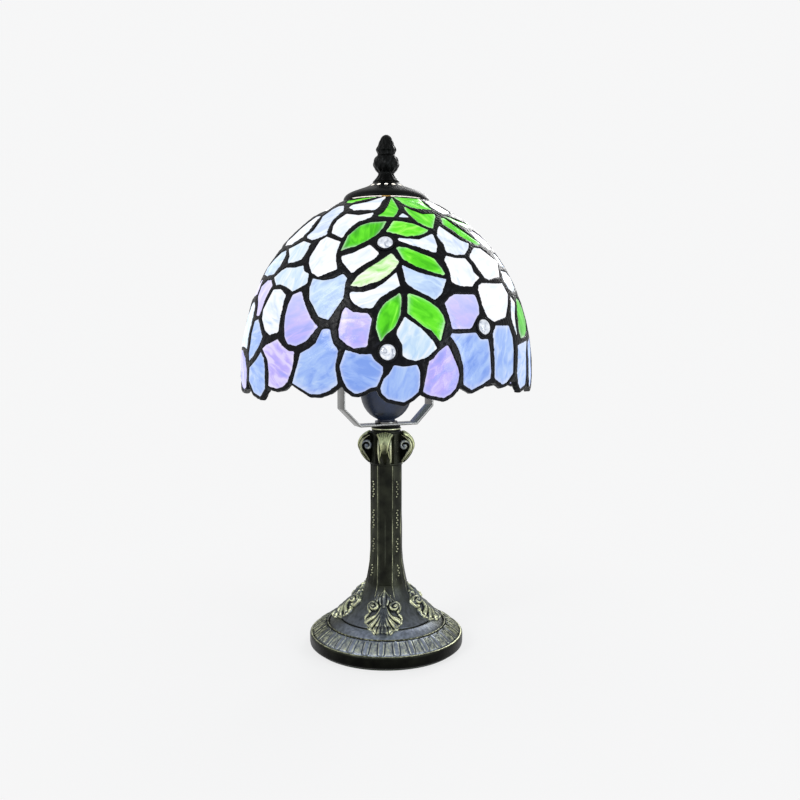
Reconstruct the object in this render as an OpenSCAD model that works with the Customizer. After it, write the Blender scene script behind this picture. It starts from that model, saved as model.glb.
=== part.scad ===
// Leaded glass table lamp: a cast stand, a harp that carries a domed shade, a socket and a bulb.
// Millimetres. +Z is up, the origin is the centre of the foot on the table, the front faces -Y.

/* [Foot] */
// Outer radius of the cast foot
foot_r = 54.6; // [50:0.1:66]
// Height of the foot's plain rim
rim_h = 10; // [9:0.1:12]
// Height at which the column stands on the foot
foot_h = 46; // [40:0.5:56]
// Thickness of the felt under the foot
felt_t = 1.5; // [1:0.1:3]
// Thickness of the iron ballast ring
ballast_t = 4.5; // [3:0.1:5.5]
// Bore of the bushing that the mains lead passes through, as a radius
cord_r = 2.6; // [1.8:0.1:2.8]

/* [Column] */
// Height of the top of the column, under the collar
column_top = 130; // [110:1:156]
// Radius of the straight part of the column
column_r = 11.5; // [10:0.1:14]
// Height of the capital with its four scrolls
capital_h = 22.8; // [19:0.1:28]
// How far the scrolls reach from the axis
scroll_r = 18.6; // [16.5:0.1:23]
// Radius of the hollow tie rod
rod_r = 5; // [4:0.1:6]
// Bore of the tie rod, as a radius
rod_bore = 3.6; // [2.5:0.1:3.8]

/* [Harp] */
// Half the width of the harp between its legs' outer faces
harp_r = 34.75; // [29:0.25:42]
// Width of the harp's flat strap
strap_w = 11; // [8:0.5:14]
// Thickness of the harp's strap
strap_t = 1.5; // [1:0.1:2.5]
// Angle of the harp about the upright axis
harp_turn = 25; // [0:1:90]

/* [Socket and bulb] */
// Outer radius of the socket's moulded cup
cup_r = 18; // [17.5:0.1:22]
// Height of the rounded part of the cup
cup_h = 27; // [23:0.5:33]
// Radius of the bulb's screw cap
cap_thread_r = 13; // [10:0.1:13.2]
// Radius of the bulb's glass
bulb_r = 22.5; // [18:0.5:25]

/* [Shade] */
// Radius of the glass surface at its widest
shade_r = 98.5; // [82:0.5:120]
// Height of the dome above its widest circle, if it closed to a point
shade_h = 120; // [100:0.5:144]
// Height of the dome's widest circle above the table
shade_z = 195; // [190:0.5:234]
// Thickness of the glass
glass_t = 2.5; // [2:0.1:3.5]
// Thickness of the soldered lead lines
lead_t = 4; // [3.6:0.1:5]
// Width of the lead line round the shade's lower edge
lead_w = 2.2; // [1.5:0.1:3]
// Radius of the round glass jewels
jewel_r = 5; // [3.5:0.1:5.4]

/* [Cap and finial] */
// Height of the vase cap from its edge to its top
cap_h = 12.8; // [10:0.1:16]
// Thickness of the cap's sheet
cap_t = 1.2; // [0.8:0.1:2]
// Radius of the threaded stud on the harp
stud_r = 3.1; // [2.5:0.1:3.7]
// Height of the finial
finial_h = 31; // [26:0.5:38]
// Largest radius of the finial
finial_r = 9; // [8:0.1:11]

/* [Hidden] */
$fn = 72;

// Gap between a rod and the plain hole it passes through
hole_gap = 0.15;
// Gap between parts of different moving bodies
move_gap = 0.3;
// Gap between flat faces that rest on each other and move apart
rest_gap = 0.1;

// The cast stand is fitted a few degrees round from the front of the shade
stand_turn = -4;

// Heights of the stack on the tie rod
collar_z = column_top + capital_h;
collar_h = 4.5;
harp_z = collar_z + collar_h;
harp_nut_t = 1.7;
cup_z = harp_z + strap_t + harp_nut_t;
rod_top = cup_z + 3.5;
boss_z = foot_h - 8;
washer_t = 1.5;
nut_t = 5;
rod_bottom = boss_z - washer_t - nut_t - 2.5;

// The shade's crown, where the glass stops and the cap takes over
crown_lat = 73;
crown_r = shade_r * cos(crown_lat);
crown_z = shade_z + shade_h * sin(crown_lat);
ring_t = 2;
spider_t = 2;
spider_z = crown_z - 5;
stud_nut_t = 4;
harp_top = spider_z - rest_gap - stud_nut_t;
cap_r = crown_r + 0.6;
cap_z = crown_z + lead_t / 2 + 0.25;
cap_top = cap_z + cap_h;
cap_neck_r = 9;
finial_washer_t = 0.8;
finial_z = cap_top + finial_washer_t;
stud_top = finial_z + 0.6 * finial_h;

// Angular spacing of the two halves of the shade, which repeat
half_turns = [0, 180];
lowest_lat = -9;
skirt_lat = -1.5;

// Outlines of the glass in one half of the shade. Each corner is [azimuth, latitude] in degrees:
// azimuth runs from the front towards +X, and latitude up the dome from its widest circle.
leaf_outlines = [
    [[5, 25], [0, 22.5], [-2, 20.5], [-3, 18.5], [-3.5, 16.5], [-3.5, 14.5], [-2, 11], [0, 13],
        [2.5, 14.5], [4, 16.5], [5, 18.5], [5.5, 21.5], [5.5, 24]],
    [[8.5, 25], [13, 24], [16.5, 22.5], [19.5, 20.5], [21, 18.5], [21.5, 16.5], [19, 11], [16, 14],
        [13.5, 15], [7.5, 19], [8, 24.5]],
    [[4.5, 40.5], [5.5, 41], [9, 41], [21.5, 37], [24, 33], [24.5, 31.5], [24, 31], [19, 32],
        [12, 34], [7, 36.5]],
    [[-20.5, 40], [-20, 46], [-15, 51], [-9.5, 52.5], [0, 52.5], [-1.5, 49.5], [-5, 46],
        [-9.5, 43.5], [-14, 41.5]],
    [[6, 70], [9.5, 61], [7, 57.5], [4.5, 55], [-5.5, 55.5], [-2, 58], [1.5, 63]],
    [[-12.5, 71.5], [-34.5, 66.5], [-44, 67.5], [-52, 71], [-47, 71.5]],
    [[4, 53], [9, 53], [16, 52], [23.5, 48.5], [20, 47], [16.5, 46], [10, 45.5], [0, 47.5]],
    [[38.5, 56], [41.5, 56.5], [44.5, 53.5], [49, 51], [56, 44], [52.5, 43.5], [47, 45],
        [42, 47.5], [35.5, 52.5]],
    [[43, 57.5], [55.5, 56.5], [69, 53.5], [60.5, 52], [52, 53], [47, 55]],
    [[9, 71.5], [43.5, 71.5], [39.5, 67], [38, 61], [25, 61], [19, 62], [14, 65.5]],
    [[13.5, 62.5], [17.5, 60.5], [26, 58], [35.5, 58], [34.5, 56.5], [26.5, 49.5], [24, 50],
        [19, 52.5], [15.5, 56.5], [14, 59.5]],
    [[67.5, 23.5], [71, 25], [75.5, 24], [79, 21], [79, 17], [75.5, 14], [69, 12], [62, 11.5],
        [61, 14], [63, 18.5]],
];
pale_leaf_outlines = [
    [[-13.5, 27.5], [-11.5, 30.5], [-8, 33], [2.5, 38.5], [5.5, 35.5], [4, 33.5], [1, 31],
        [-2.5, 29], [-10, 27]],
];
blue_outlines = [
    [[-23, 14.5], [-20, 14.5], [-19.5, 12.5], [-18.5, 10.5], [-16.5, 8.5], [-17.5, 3.5],
        [-16.5, -1], [-20, -3], [-23.5, -4], [-27, -4], [-34, -1], [-31.5, 7.5], [-28, 9],
        [-25.5, 10.5]],
    [[2.5, 4.5], [6, 4], [10.5, 4.5], [11.5, 2.5], [11.5, -1], [11, -3], [9, -4.5], [6, -6],
        [0.5, -5], [-1.5, -3.5], [-2, -2], [-1, 0.5], [1, 2]],
    [[-14, 8.5], [-9, 7.5], [-5, 7.5], [-4, 6], [-1, 4], [-1, 2.5], [-3, -1.5], [-5.5, -2],
        [-7.5, -3], [-9.5, -3.5], [-11, -3.5], [-13.5, -2], [-15, 0.5], [-16, 4]],
    [[23, 12.5], [23.5, 13], [34, 13.5], [36, 11.5], [39.5, 11.5], [40, 8], [40, 5], [40, 2],
        [39.5, 0], [36, -1.5], [31, -3], [27.5, -1.5], [27.5, 3.5], [26.5, 7], [25, 10]],
    [[-58.5, 17.5], [-52.5, 12], [-54, 9.5], [-58.5, 6], [-62.5, 4.5], [-63.5, 6.5], [-63.5, 13],
        [-62, 17]],
    [[-52.5, 7.5], [-56.5, 5], [-62, 2.5], [-62.5, -1.5], [-58.5, -5], [-53, -6], [-49, -3],
        [-49, 2], [-50, 5.5]],
    [[42, 13], [44.5, 15.5], [53, 15.5], [55, 12], [55, 8], [53.5, 1], [49, -1.5], [46, -2],
        [41.5, 0]],
    [[58, 9.5], [68, 10.5], [67, 6.5], [67, 0], [65.5, -3], [59.5, -4], [57, -2], [56, 1]],
    [[71, 10], [78, 11.5], [79.5, 6], [79, 0], [77.5, -3.5], [74, -4.5], [70.5, -3], [69.5, 1.5],
        [69.5, 6.5]],
];
lavender_outlines = [
    [[-15, 21], [-12, 19.5], [-6.5, 19], [-5, 17.5], [-6.5, 9.5], [-11, 9], [-13.5, 10],
        [-16.5, 12], [-17, 14.5], [-16, 19.5]],
    [[21.5, 10], [23, 8], [25.5, 3.5], [26, 1.5], [25.5, -0.5], [24.5, -2.5], [22.5, -4], [20, -5],
        [14.5, -4], [12.5, -3], [14.5, 5.5], [16, 6], [18, 8]],
    [[27, 25], [36.5, 25], [37, 24], [37.5, 21.5], [37, 19], [35.5, 18], [32.5, 15], [31.5, 14.5],
        [24, 14.5], [22, 22], [24.5, 24]],
    [[-35, 26], [-39, 25], [-40.5, 22], [-41, 18.5], [-40.5, 15], [-39.5, 12], [-37.5, 10],
        [-33.5, 9.5], [-29, 11], [-25, 15], [-28.5, 18], [-31.5, 21.5]],
    [[-43, 11.5], [-49.5, 9.5], [-51, 8.5], [-48, 5], [-47, 1], [-47, -2.5], [-42.5, -3],
        [-39.5, -2.5], [-37, -1], [-35, 2], [-34, 5], [-34, 8], [-36.5, 8], [-40, 9.5]],
    [[-58.5, 30.5], [-55, 28.5], [-56.5, 25.5], [-58.5, 18.5], [-61.5, 18.5], [-64, 22], [-68, 25],
        [-68, 28.5], [-63, 30.5]],
    [[-65, 2], [-67, 5], [-74, 7.5], [-82, 7.5], [-84.5, 2.5], [-83, -2.5], [-79, -4.5], [-71, -5],
        [-66, -3.5], [-65, -1]],
    [[-70.5, 30.5], [-70, 26], [-75, 25], [-82, 24.5], [-87, 26], [-87.5, 29.5], [-82, 31.5],
        [-75, 31.5]],
    [[81, 11.5], [86, 12], [91, 11], [93, 6], [92.5, 0.5], [90.5, -3.5], [87, -4.5], [83, -3.5],
        [81.5, 1.5], [82, 6.5]],
    [[82, 32], [88.5, 32], [90, 28.5], [88, 27.5], [82, 27.5]],
    [[57, 49.5], [64, 51], [71, 49.5], [75, 46], [73, 43], [65, 42.5], [59.5, 44.5], [57.5, 47]],
];
sky_outlines = [
    [[6.5, 18], [12, 15], [16.5, 11], [17.5, 9], [14, 6.5], [10, 5.5], [7.5, 6], [5.5, 7],
        [5.5, 10], [3.5, 13], [4, 14.5]],
    [[6.5, 34], [13, 32], [24.5, 29.5], [21.5, 25], [18.5, 23], [10.5, 26.5], [7.5, 28.5]],
    [[-17.5, 31.5], [-15.5, 30], [-16, 28], [-16, 23.5], [-21, 17], [-25, 18], [-30.5, 23.5],
        [-31.5, 27], [-31, 30], [-26, 29.5], [-21.5, 30]],
    [[-57, 42], [-47.5, 45], [-40.5, 43.5], [-40.5, 39.5], [-41.5, 37], [-44.5, 36.5], [-50, 36],
        [-51.5, 37], [-52.5, 39]],
    [[-50, 34.5], [-43.5, 34.5], [-38.5, 35], [-37, 33], [-33.5, 31.5], [-33, 28.5], [-36.5, 27],
        [-40, 26], [-44, 27.5], [-48.5, 28.5], [-52.5, 28.5], [-55.5, 31], [-52.5, 33.5]],
    [[-60, 42], [-56.5, 39.5], [-55.5, 36], [-58.5, 32.5], [-67, 32], [-75, 33], [-77, 35.5],
        [-73, 39], [-67, 41.5]],
    [[-66, 8], [-74, 8.5], [-85, 8.5], [-86, 14], [-85, 19.5], [-80, 23], [-72, 24], [-66.5, 21.5],
        [-65, 18], [-66, 13]],
    [[82, 13.5], [82, 17.5], [81.5, 22], [79, 25], [83, 26.5], [89, 25.5], [91, 21.5], [92, 16.5],
        [91, 13], [86, 13.5]],
    [[63.5, 34], [74, 34], [79.5, 32], [79, 28.5], [75, 27.5], [68, 26.5], [62.5, 27.5],
        [61, 30.5]],
    [[68, 40.5], [75, 41.5], [79, 39], [80, 36], [72, 35.5], [67, 36.5]],
];
white_outlines = [
    [[4, 31], [5, 27.5], [-2.5, 23.5], [-5, 20.5], [-8.5, 20.5], [-10, 21], [-12, 22],
        [-13.5, 23.5], [-14, 25], [-13.5, 25.5], [-8.5, 25.5], [-4.5, 26.5], [0, 28.5]],
    [[-32, 46], [-22.5, 43.5], [-23, 39], [-22, 36], [-20.5, 33], [-28.5, 30.5], [-32.5, 32],
        [-36, 35.5], [-37, 38], [-35, 44.5]],
    [[-7.5, 42], [-3, 38.5], [-5, 36.5], [-9.5, 34.5], [-14, 31.5], [-19, 35.5], [-20, 37.5],
        [-15, 39]],
    [[-1, 71.5], [-5.5, 62], [-8, 59.5], [-24.5, 60], [-32, 63], [-31.5, 65], [-19.5, 67.5]],
    [[-8.5, 57.5], [-18.5, 57], [-28.5, 58], [-32, 54.5], [-32, 51], [-30, 47.5], [-22.5, 45],
        [-21.5, 48], [-19, 51], [-16.5, 53], [-12, 54], [-9.5, 55]],
    [[-39, 64], [-33, 60.5], [-35.5, 55], [-35, 51.5], [-33.5, 48], [-32.5, 47], [-37, 45.5],
        [-41, 45], [-46, 46], [-48, 47], [-47, 50], [-48.5, 54.5], [-51.5, 58.5], [-48, 62.5],
        [-44, 64]],
    [[11, 58], [15, 55], [7.5, 55]],
    [[5.5, 44.5], [16, 44.5], [25, 47], [25, 42], [23.5, 39.5], [22.5, 39], [11, 42], [6, 43.5]],
    [[-47.5, 27], [-43, 25], [-43, 13.5], [-48, 12.5], [-52, 14], [-56, 17.5], [-57, 20.5],
        [-53, 27]],
    [[42.5, 29], [57.5, 29], [59, 25.5], [57, 22.5], [52.5, 18], [44, 16.5], [40.5, 18], [39, 22],
        [39, 26.5], [40, 28]],
    [[49, 42.5], [55, 42.5], [64, 37], [58.5, 31.5], [47.5, 30], [45, 31], [41, 38], [43, 39.5]],
    [[27.5, 38], [32.5, 37.5], [38, 37.5], [40, 35], [40, 32.5], [42, 30.5], [38.5, 29],
        [36.5, 27.5], [32, 27.5], [28.5, 28], [26.5, 29], [27, 31.5], [26, 36.5]],
    [[31.5, 51], [41.5, 45], [46, 43.5], [43.5, 41.5], [39, 39], [33.5, 38.5], [28.5, 39.5],
        [28.5, 42.5], [27, 46.5], [29, 49]],
    [[61.5, 25], [65, 23], [62, 20], [59, 15.5], [58.5, 11.5], [56.5, 16.5], [56.5, 18]],
    [[-80, 34.5], [-78.5, 37.5], [-74.5, 40.5], [-73, 43.5], [-80, 45], [-88, 44.5], [-89.5, 38.5],
        [-87, 33.5], [-83, 33]],
    [[-54, 58.5], [-50, 50], [-51, 47], [-58, 44], [-68, 44], [-72, 46], [-71, 51], [-68, 56],
        [-61, 59]],
    [[-75, 47], [-74, 52], [-71.5, 56], [-78, 57], [-87, 56], [-89, 51], [-88, 47]],
    [[-56, 62.5], [-62, 62.5], [-69, 60], [-78, 60.5], [-86, 59.5], [-88, 64.5], [-80, 70],
        [-66, 70.5], [-58, 68]],
    [[82, 34], [83, 37], [81.5, 41.5], [84, 44.5], [88.5, 44], [88.5, 38], [87.5, 33.5]],
    [[72, 53], [78, 56], [88, 56], [88.5, 47.5], [81, 47], [77, 48.5]],
    [[47, 70], [58, 71], [64, 66.5], [62, 62], [56, 60], [46, 59], [41.5, 60.5], [41.5, 63.5]],
    [[67, 67], [76, 70], [88, 68.5], [88.5, 58.5], [78, 58.5], [69, 58], [65.5, 62.5]],
];
all_outlines = concat(leaf_outlines, pale_leaf_outlines, blue_outlines, lavender_outlines,
    sky_outlines, white_outlines);

// Centres of the round jewels in one half of the shade
jewel_places = [[0.5, 8], [37.7, 15], [-0.5, 42.5]];

// ---------- Geometry of the dome ----------

// Radius and height on the glass surface, moved off it along the normal
function dome_normal(lat) = let (n = [cos(lat) / shade_r, sin(lat) / shade_h]) n / norm(n);
function dome_rz(lat, off = 0) =
    [shade_r * cos(lat), shade_z + shade_h * sin(lat)] + off * dome_normal(lat);

function mean(list) = list * [for (i = list) 1] / len(list);
function column(points, k) = [for (p = points) p[k]];

// A corner seen square on from outside, in the flat plane of a pane centred on [az, lat]
function flat_corner(corner, az, lat) = let (
        here = dome_rz(corner[1]),
        middle = dome_rz(lat),
        turn = corner[0] - az,
        n = dome_normal(lat)
    ) [(here[0] * cos(turn) - middle[0]) * n[1] - (here[1] - middle[1]) * n[0],
        here[0] * sin(turn)];

// How far a corner lies behind the tangent plane, which sets how deep the flat pane sits
function corner_depth(corner, az, lat) = let (
        here = dome_rz(corner[1]),
        middle = dome_rz(lat),
        n = dome_normal(lat)
    ) (here[0] * cos(corner[0] - az) - middle[0]) * n[0] + (here[1] - middle[1]) * n[1];

// The outline moved outwards by w, with mitred corners
function turn_sign(p) = sign(mean([for (i = [0 : len(p) - 1])
    let (q = p[(i + 1) % len(p)]) p[i][0] * q[1] - p[i][1] * q[0]]));
function edge_normal(a, b, s) = let (d = (b - a) / norm(b - a)) s * [d[1], -d[0]];
function grown(p, w) = let (s = turn_sign(p), n = len(p)) [for (i = [0 : n - 1]) let (
        n1 = edge_normal(p[(i + n - 1) % n], p[i], s),
        n2 = edge_normal(p[i], p[(i + 1) % n], s)
    ) p[i] + w * (n1 + n2) / (1 + n1 * n2)];

// Stands its children on the dome, with +X down the dome, +Y along the azimuth and +Z outwards
module on_dome(az, lat, off = 0) {
    at = dome_rz(lat, off);
    n = dome_normal(lat);
    rotate([0, 0, az - 90])
        translate([at[0], 0, at[1]])
            rotate([0, atan2(n[0], n[1]), 0])
                children();
}

// One flat pane, or with a larger thickness the hole that it sits in
module pane(outline, t, grow = 0) {
    az = mean(column(outline, 0));
    lat = mean(column(outline, 1));
    flat_outline = [for (c = outline) flat_corner(c, az, lat)];
    depth = mean([for (c = outline) corner_depth(c, az, lat)]);
    on_dome(az, lat, depth)
        linear_extrude(t, center = true)
            polygon(grow == 0 ? flat_outline : grown(flat_outline, grow));
}

module panes(outlines, t) {
    for (half = half_turns)
        rotate([0, 0, half])
            for (outline = outlines)
                pane(outline, t);
}

module dome_shell(low, high, steps) {
    lats = [for (i = [0 : steps]) low + (high - low) * i / steps];
    outside = [for (lat = lats) dome_rz(lat, lead_t / 2)];
    inside = [for (i = [steps : -1 : 0]) dome_rz(lats[i], -lead_t / 2)];
    rotate_extrude() polygon(concat(outside, inside));
}

module at_jewels() {
    for (half = half_turns)
        for (place = jewel_places)
            on_dome(place[0] + half, place[1])
                children();
}

module hex_nut(r, bore, t) {
    difference() {
        cylinder(h = t, r = r, $fn = 6);
        translate([0, 0, -1]) cylinder(h = t + 2, r = bore + 0.05);
    }
}

module ring(outer, inner, t) {
    difference() {
        cylinder(h = t, r = outer);
        translate([0, 0, -1]) cylinder(h = t + 2, r = inner);
    }
}

// ---------- Foot ----------

module base_felt() {
    color("darkolivegreen")
        cylinder(h = felt_t, r = foot_r - 3);
}

module ballast_weight() {
    color("dimgray")
        translate([0, 0, felt_t])
            difference() {
                ring(foot_r - 9, 14, ballast_t);
                translate([-4, 10, -1]) cube([8, foot_r, ballast_t + 2]);
            }
}

// The outer face of the foot, from the table up to the column
function foot_profile() = let (cone_h = foot_h - rim_h - 10.6) [
    [foot_r - 2.5, felt_t], [foot_r - 0.8, felt_t + 0.6], [foot_r, felt_t + 1.8], [foot_r, rim_h - 1.4],
    [foot_r - 0.4, rim_h - 0.2], [foot_r - 1.4, rim_h + 0.2], [foot_r - 2.4, rim_h],
    [foot_r - 3.2, rim_h + 1], [foot_r - 7.6, rim_h + 4.2], [foot_r - 12.2, rim_h + 6.6],
    [foot_r - 13, rim_h + 7.8], [foot_r - 13.8, rim_h + 7.8], [foot_r - 14.3, rim_h + 6.8],
    [foot_r - 15, rim_h + 7.2], [foot_r - 18, rim_h + 9.2], [foot_r - 20.6, rim_h + 10.3],
    [foot_r - 21.4, rim_h + 10], [foot_r - 22, rim_h + 10.9],
    each [for (k = [1 : 7]) let (u = k / 7)
        [foot_column_r() + (foot_r - 22 - foot_column_r()) * pow(1 - u, 1.7), rim_h + 10.9 + (cone_h - 0.3) * u]]
];
// Radius of the column where it meets the foot
function foot_column_r() = column_r + 3.3;

module base_casting() {
    wall = 5;
    color("#3b3a30")
        difference() {
            rotate_extrude() polygon(concat(foot_profile(), [[0, foot_h], [0, felt_t]]));
            rotate_extrude() polygon([[0, felt_t - 1], [foot_r - wall, felt_t - 1], [foot_r - wall, rim_h - 2],
                [foot_r - 14, rim_h + 3], [foot_r - 24, rim_h + 7], [foot_column_r() + 4, boss_z - 7],
                [foot_column_r() - 1, boss_z], [0, boss_z]]);
            cylinder(h = foot_h + 1, r = rod_r + hole_gap);
            translate([0, 0, cord_z()]) rotate([-90, 0, 0]) cylinder(h = foot_r + 5, r = bushing_r() + 0.1);
        }
}

function cord_z() = (felt_t + rim_h) / 2;
function bushing_r() = cord_r + 0.7;

module cord_bushing() {
    color("black")
        translate([0, 0, cord_z()])
            rotate([-90, 0, 0])
                difference() {
                    union() {
                        translate([0, 0, foot_r - 6.8]) cylinder(h = 7.5, r = bushing_r());
                        translate([0, 0, foot_r + 0.1]) cylinder(h = 1.3, r = bushing_r() + 0.8);
                    }
                    translate([0, 0, foot_r - 8]) cylinder(h = 12, r = cord_r);
                }
}

module base_washer() {
    color("silver")
        translate([0, 0, boss_z - washer_t])
            ring(rod_r + 7, rod_r + hole_gap, washer_t);
}

module base_nut() {
    color("silver")
        translate([0, 0, boss_z - washer_t - nut_t])
            hex_nut(rod_r + 4.5, rod_r, nut_t);
}

module tie_rod() {
    color("silver")
        translate([0, 0, rod_bottom])
            ring(rod_r, rod_bore, rod_top - rod_bottom);
}

// ---------- Column ----------

module column_shaft() {
    low = foot_column_r();
    flare = [for (k = [0 : 5]) let (u = k / 5)
        [column_r + (low - column_r) * pow(1 - u, 1.6), foot_h + 26 * u]];
    color("#2f2e28")
        rotate([0, 0, stand_turn])
            difference() {
                union() {
                    rotate_extrude() polygon(concat(flare, [[column_r, column_top], [0, column_top], [0, foot_h]]));
                    for (side = [0 : 3])
                        rotate([0, 0, 90 * side])
                            translate([-column_r * 0.52, -column_r - 0.5, foot_h + 26])
                                cube([column_r * 1.04, column_r, column_top - foot_h - 26]);
                }
                translate([0, 0, foot_h - 1]) cylinder(h = column_top, r = rod_r + hole_gap);
            }
}

// One scroll seen from the side, from its top edge to the tail on the column
function scroll_points() = let (u = scroll_r - column_r, h = capital_h) [
    [column_r - 3, h - 0.8], [column_r + 0.1 * u, h - 1.2], [column_r + 0.6 * u, 0.84 * h],
    [column_r + 0.92 * u, 0.7 * h], [scroll_r, 0.58 * h], [column_r + 0.86 * u, 0.42 * h],
    [column_r + 0.5 * u, 0.24 * h], [column_r + 0.08 * u, 0.06 * h], [column_r - 3, 0]
];

module capital() {
    scroll_w = 9;
    color("#34332b")
        translate([0, 0, column_top])
            difference() {
                union() {
                    cylinder(h = capital_h, r = column_r - 0.4);
                    for (side = [0 : 3])
                        rotate([0, 0, stand_turn + 90 * side])
                            rotate([90, 0, 0])
                                linear_extrude(scroll_w, center = true)
                                    polygon(scroll_points());
                }
                translate([0, 0, -1]) cylinder(h = capital_h + 2, r = rod_r + hole_gap);
            }
}

// A cast leaf that lies on the outer face of each scroll, wide at the top and narrow at the tail
module capital_leaves() {
    leaf_t = 0.9;
    color("darkgoldenrod")
        for (side = [0 : 3])
            rotate([0, 0, stand_turn + 90 * side])
                translate([0, 0, column_top])
                    intersection() {
                        rotate([90, 0, 0])
                            linear_extrude(12, center = true)
                                difference() {
                                    polygon(grown(scroll_points(), leaf_t));
                                    polygon(scroll_points());
                                }
                        translate([column_r, 0, 0]) rotate([90, 0, 90])
                            linear_extrude(scroll_r)
                                polygon([[-4.2, 0.9 * capital_h], [-3.2, 0.3 * capital_h], [0, 0.16 * capital_h],
                                    [3.2, 0.3 * capital_h], [4.2, 0.9 * capital_h]]);
                    }
}

module top_collar() {
    color("#3b3a30")
        translate([0, 0, collar_z])
            difference() {
                rotate_extrude()
                    polygon([[0, 0], [column_r - 0.7, 0], [column_r - 1.4, 1.2], [column_r - 1.4, 2.4],
                        [column_r - 0.9, 2.8], [column_r - 0.9, 3.7], [column_r - 1.5, collar_h], [0, collar_h]]);
                translate([0, 0, -1]) cylinder(h = collar_h + 2, r = rod_r + hole_gap);
            }
}

// ---------- Harp ----------

// Corners of the harp's outer face, or with inset set to the strap's thickness those of its inner face
function harp_points(inset) = let (
        bend = 12.75,
        // Length that a strap's corner gains on its inner face at a 45 degree bend
        corner = inset * tan(22.5),
        arc_z = harp_top - harp_r,
        half = harp_r - inset,
        foot_half = harp_r - bend - corner)
    [each [for (a = [0 : 7.5 : 180]) [half * cos(a), arc_z + half * sin(a)]], [-half, harp_z + bend + corner],
        [-foot_half, harp_z + inset], [foot_half, harp_z + inset], [half, harp_z + bend + corner]];
module harp_outline() {
    difference() {
        polygon(harp_points(0));
        polygon(harp_points(strap_t));
    }
}
module harp_strap() {
    color("lightsteelblue")
        rotate([0, 0, harp_turn])
            difference() {
                rotate([90, 0, 0])
                    linear_extrude(strap_w, center = true)
                        harp_outline();
                cylinder(h = cup_z + 1, r = rod_r + hole_gap);
                translate([0, 0, harp_top - 5]) cylinder(h = 10, r = stud_r + hole_gap);
            }
}

module harp_nut() {
    color("silver")
        translate([0, 0, harp_z + strap_t])
            ring(rod_r + 3, rod_r + 0.05, harp_nut_t);
}

// Threaded stud with a head under the harp's top
module harp_stud() {
    head_t = 2.5;
    color("goldenrod") {
        translate([0, 0, harp_top - 6])
            cylinder(h = stud_top - harp_top + 6, r = stud_r);
        translate([0, 0, harp_top - strap_t - 0.5 - head_t])
            cylinder(h = head_t, r = stud_r + 2);
    }
}

module stud_nut() {
    color("goldenrod")
        translate([0, 0, harp_top])
            hex_nut(stud_r + 3, stud_r, stud_nut_t);
}

// ---------- Socket ----------

cup_top = cup_z + cup_h;
cup_wall = 2;
shell_h = 26;
insert_z = cup_top - 4;
insert_t = 6;
screw_z = insert_z + insert_t;
screw_h = 21;

module socket_cup() {
    bowl_h = 19.5;
    outside = [for (k = [1 : 8]) let (a = 20 + 70 * (k - 1) / 7) [cup_r * sin(a), cup_z + bowl_h * (1 - cos(a))]];
    ledge_r = cup_r - cup_wall - 1;
    inside = [for (k = [8 : -1 : 1]) let (a = 20 + 70 * (k - 1) / 7)
        [ledge_r * sin(a), cup_z + 4.5 + (bowl_h - 4.5) * (1 - cos(a))]];
    color("#2b3038")
        difference() {
            rotate_extrude() polygon(concat([[0, cup_z]], [[cup_r * sin(20), cup_z]], outside,
                [[cup_r, cup_top], [cup_r - cup_wall, cup_top], [cup_r - cup_wall, insert_z], [ledge_r, insert_z]],
                inside, [[0, cup_z + 4.5]]));
            translate([0, 0, cup_z - 1]) cylinder(h = 10, r = rod_r + 0.1);
            translate([-7.8, -cup_r, cup_z + 5]) cube([5.6, 8, 1.8]);
        }
}

module socket_insert() {
    color("ivory")
        translate([0, 0, insert_z])
            difference() {
                cylinder(h = insert_t, r = cup_r - cup_wall - 0.2);
                for (side = [-1, 1])
                    translate([side * 7, 0, -1]) cylinder(h = insert_t + 2, r = 1.6);
            }
}

module terminal_screws() {
    color("goldenrod")
        for (side = [-1, 1])
            translate([side * 7, 0, insert_z - 2]) {
                cylinder(h = 2, r = 2.6);
                cylinder(h = 7, r = 1.4);
            }
}

module socket_shell() {
    color("#2b3038")
        translate([0, 0, cup_top])
            difference() {
                union() {
                    cylinder(h = shell_h, r = cup_r - 0.6);
                    translate([0, 0, 2]) cylinder(h = 3, r = cup_r + 0.4);
                }
                translate([0, 0, -1]) cylinder(h = shell_h + 2, r = screw_outer_r() + 0.2);
                translate([0, 0, -1]) cylinder(h = 1 + insert_z + insert_t - cup_top, r = cup_r - cup_wall - 0.1);
            }
}
function screw_outer_r() = cap_thread_r + move_gap + 0.5;

module screw_shell() {
    color("goldenrod")
        translate([0, 0, screw_z])
            ring(screw_outer_r(), cap_thread_r + move_gap, screw_h);
}

module centre_contact() {
    color("goldenrod")
        translate([-5, -2, screw_z])
            cube([10, 4, 1]);
}

// ---------- Bulb ----------

bulb_z = screw_z + 1 + rest_gap;
contact_t = 0.8;
insulator_t = 1.6;
bulb_cap_z = bulb_z + contact_t + insulator_t;
bulb_cap_h = 21;
neck_z = bulb_cap_z + bulb_cap_h;
bulb_wall = 0.8;
bulb_centre = neck_z + bulb_r + 3;
neck_r = cap_thread_r - 0.6;

module bulb_contact() {
    color("silver")
        translate([0, 0, bulb_z])
            cylinder(h = contact_t, r = 4);
}

module bulb_insulator() {
    color("black")
        translate([0, 0, bulb_z + contact_t])
            cylinder(h = insulator_t, r1 = 5, r2 = cap_thread_r - 2);
}

module bulb_cap() {
    color("silver")
        translate([0, 0, bulb_cap_z])
            difference() {
                cylinder(h = bulb_cap_h, r = cap_thread_r);
                translate([0, 0, 1]) cylinder(h = bulb_cap_h, r = cap_thread_r - 0.5);
            }
}

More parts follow.
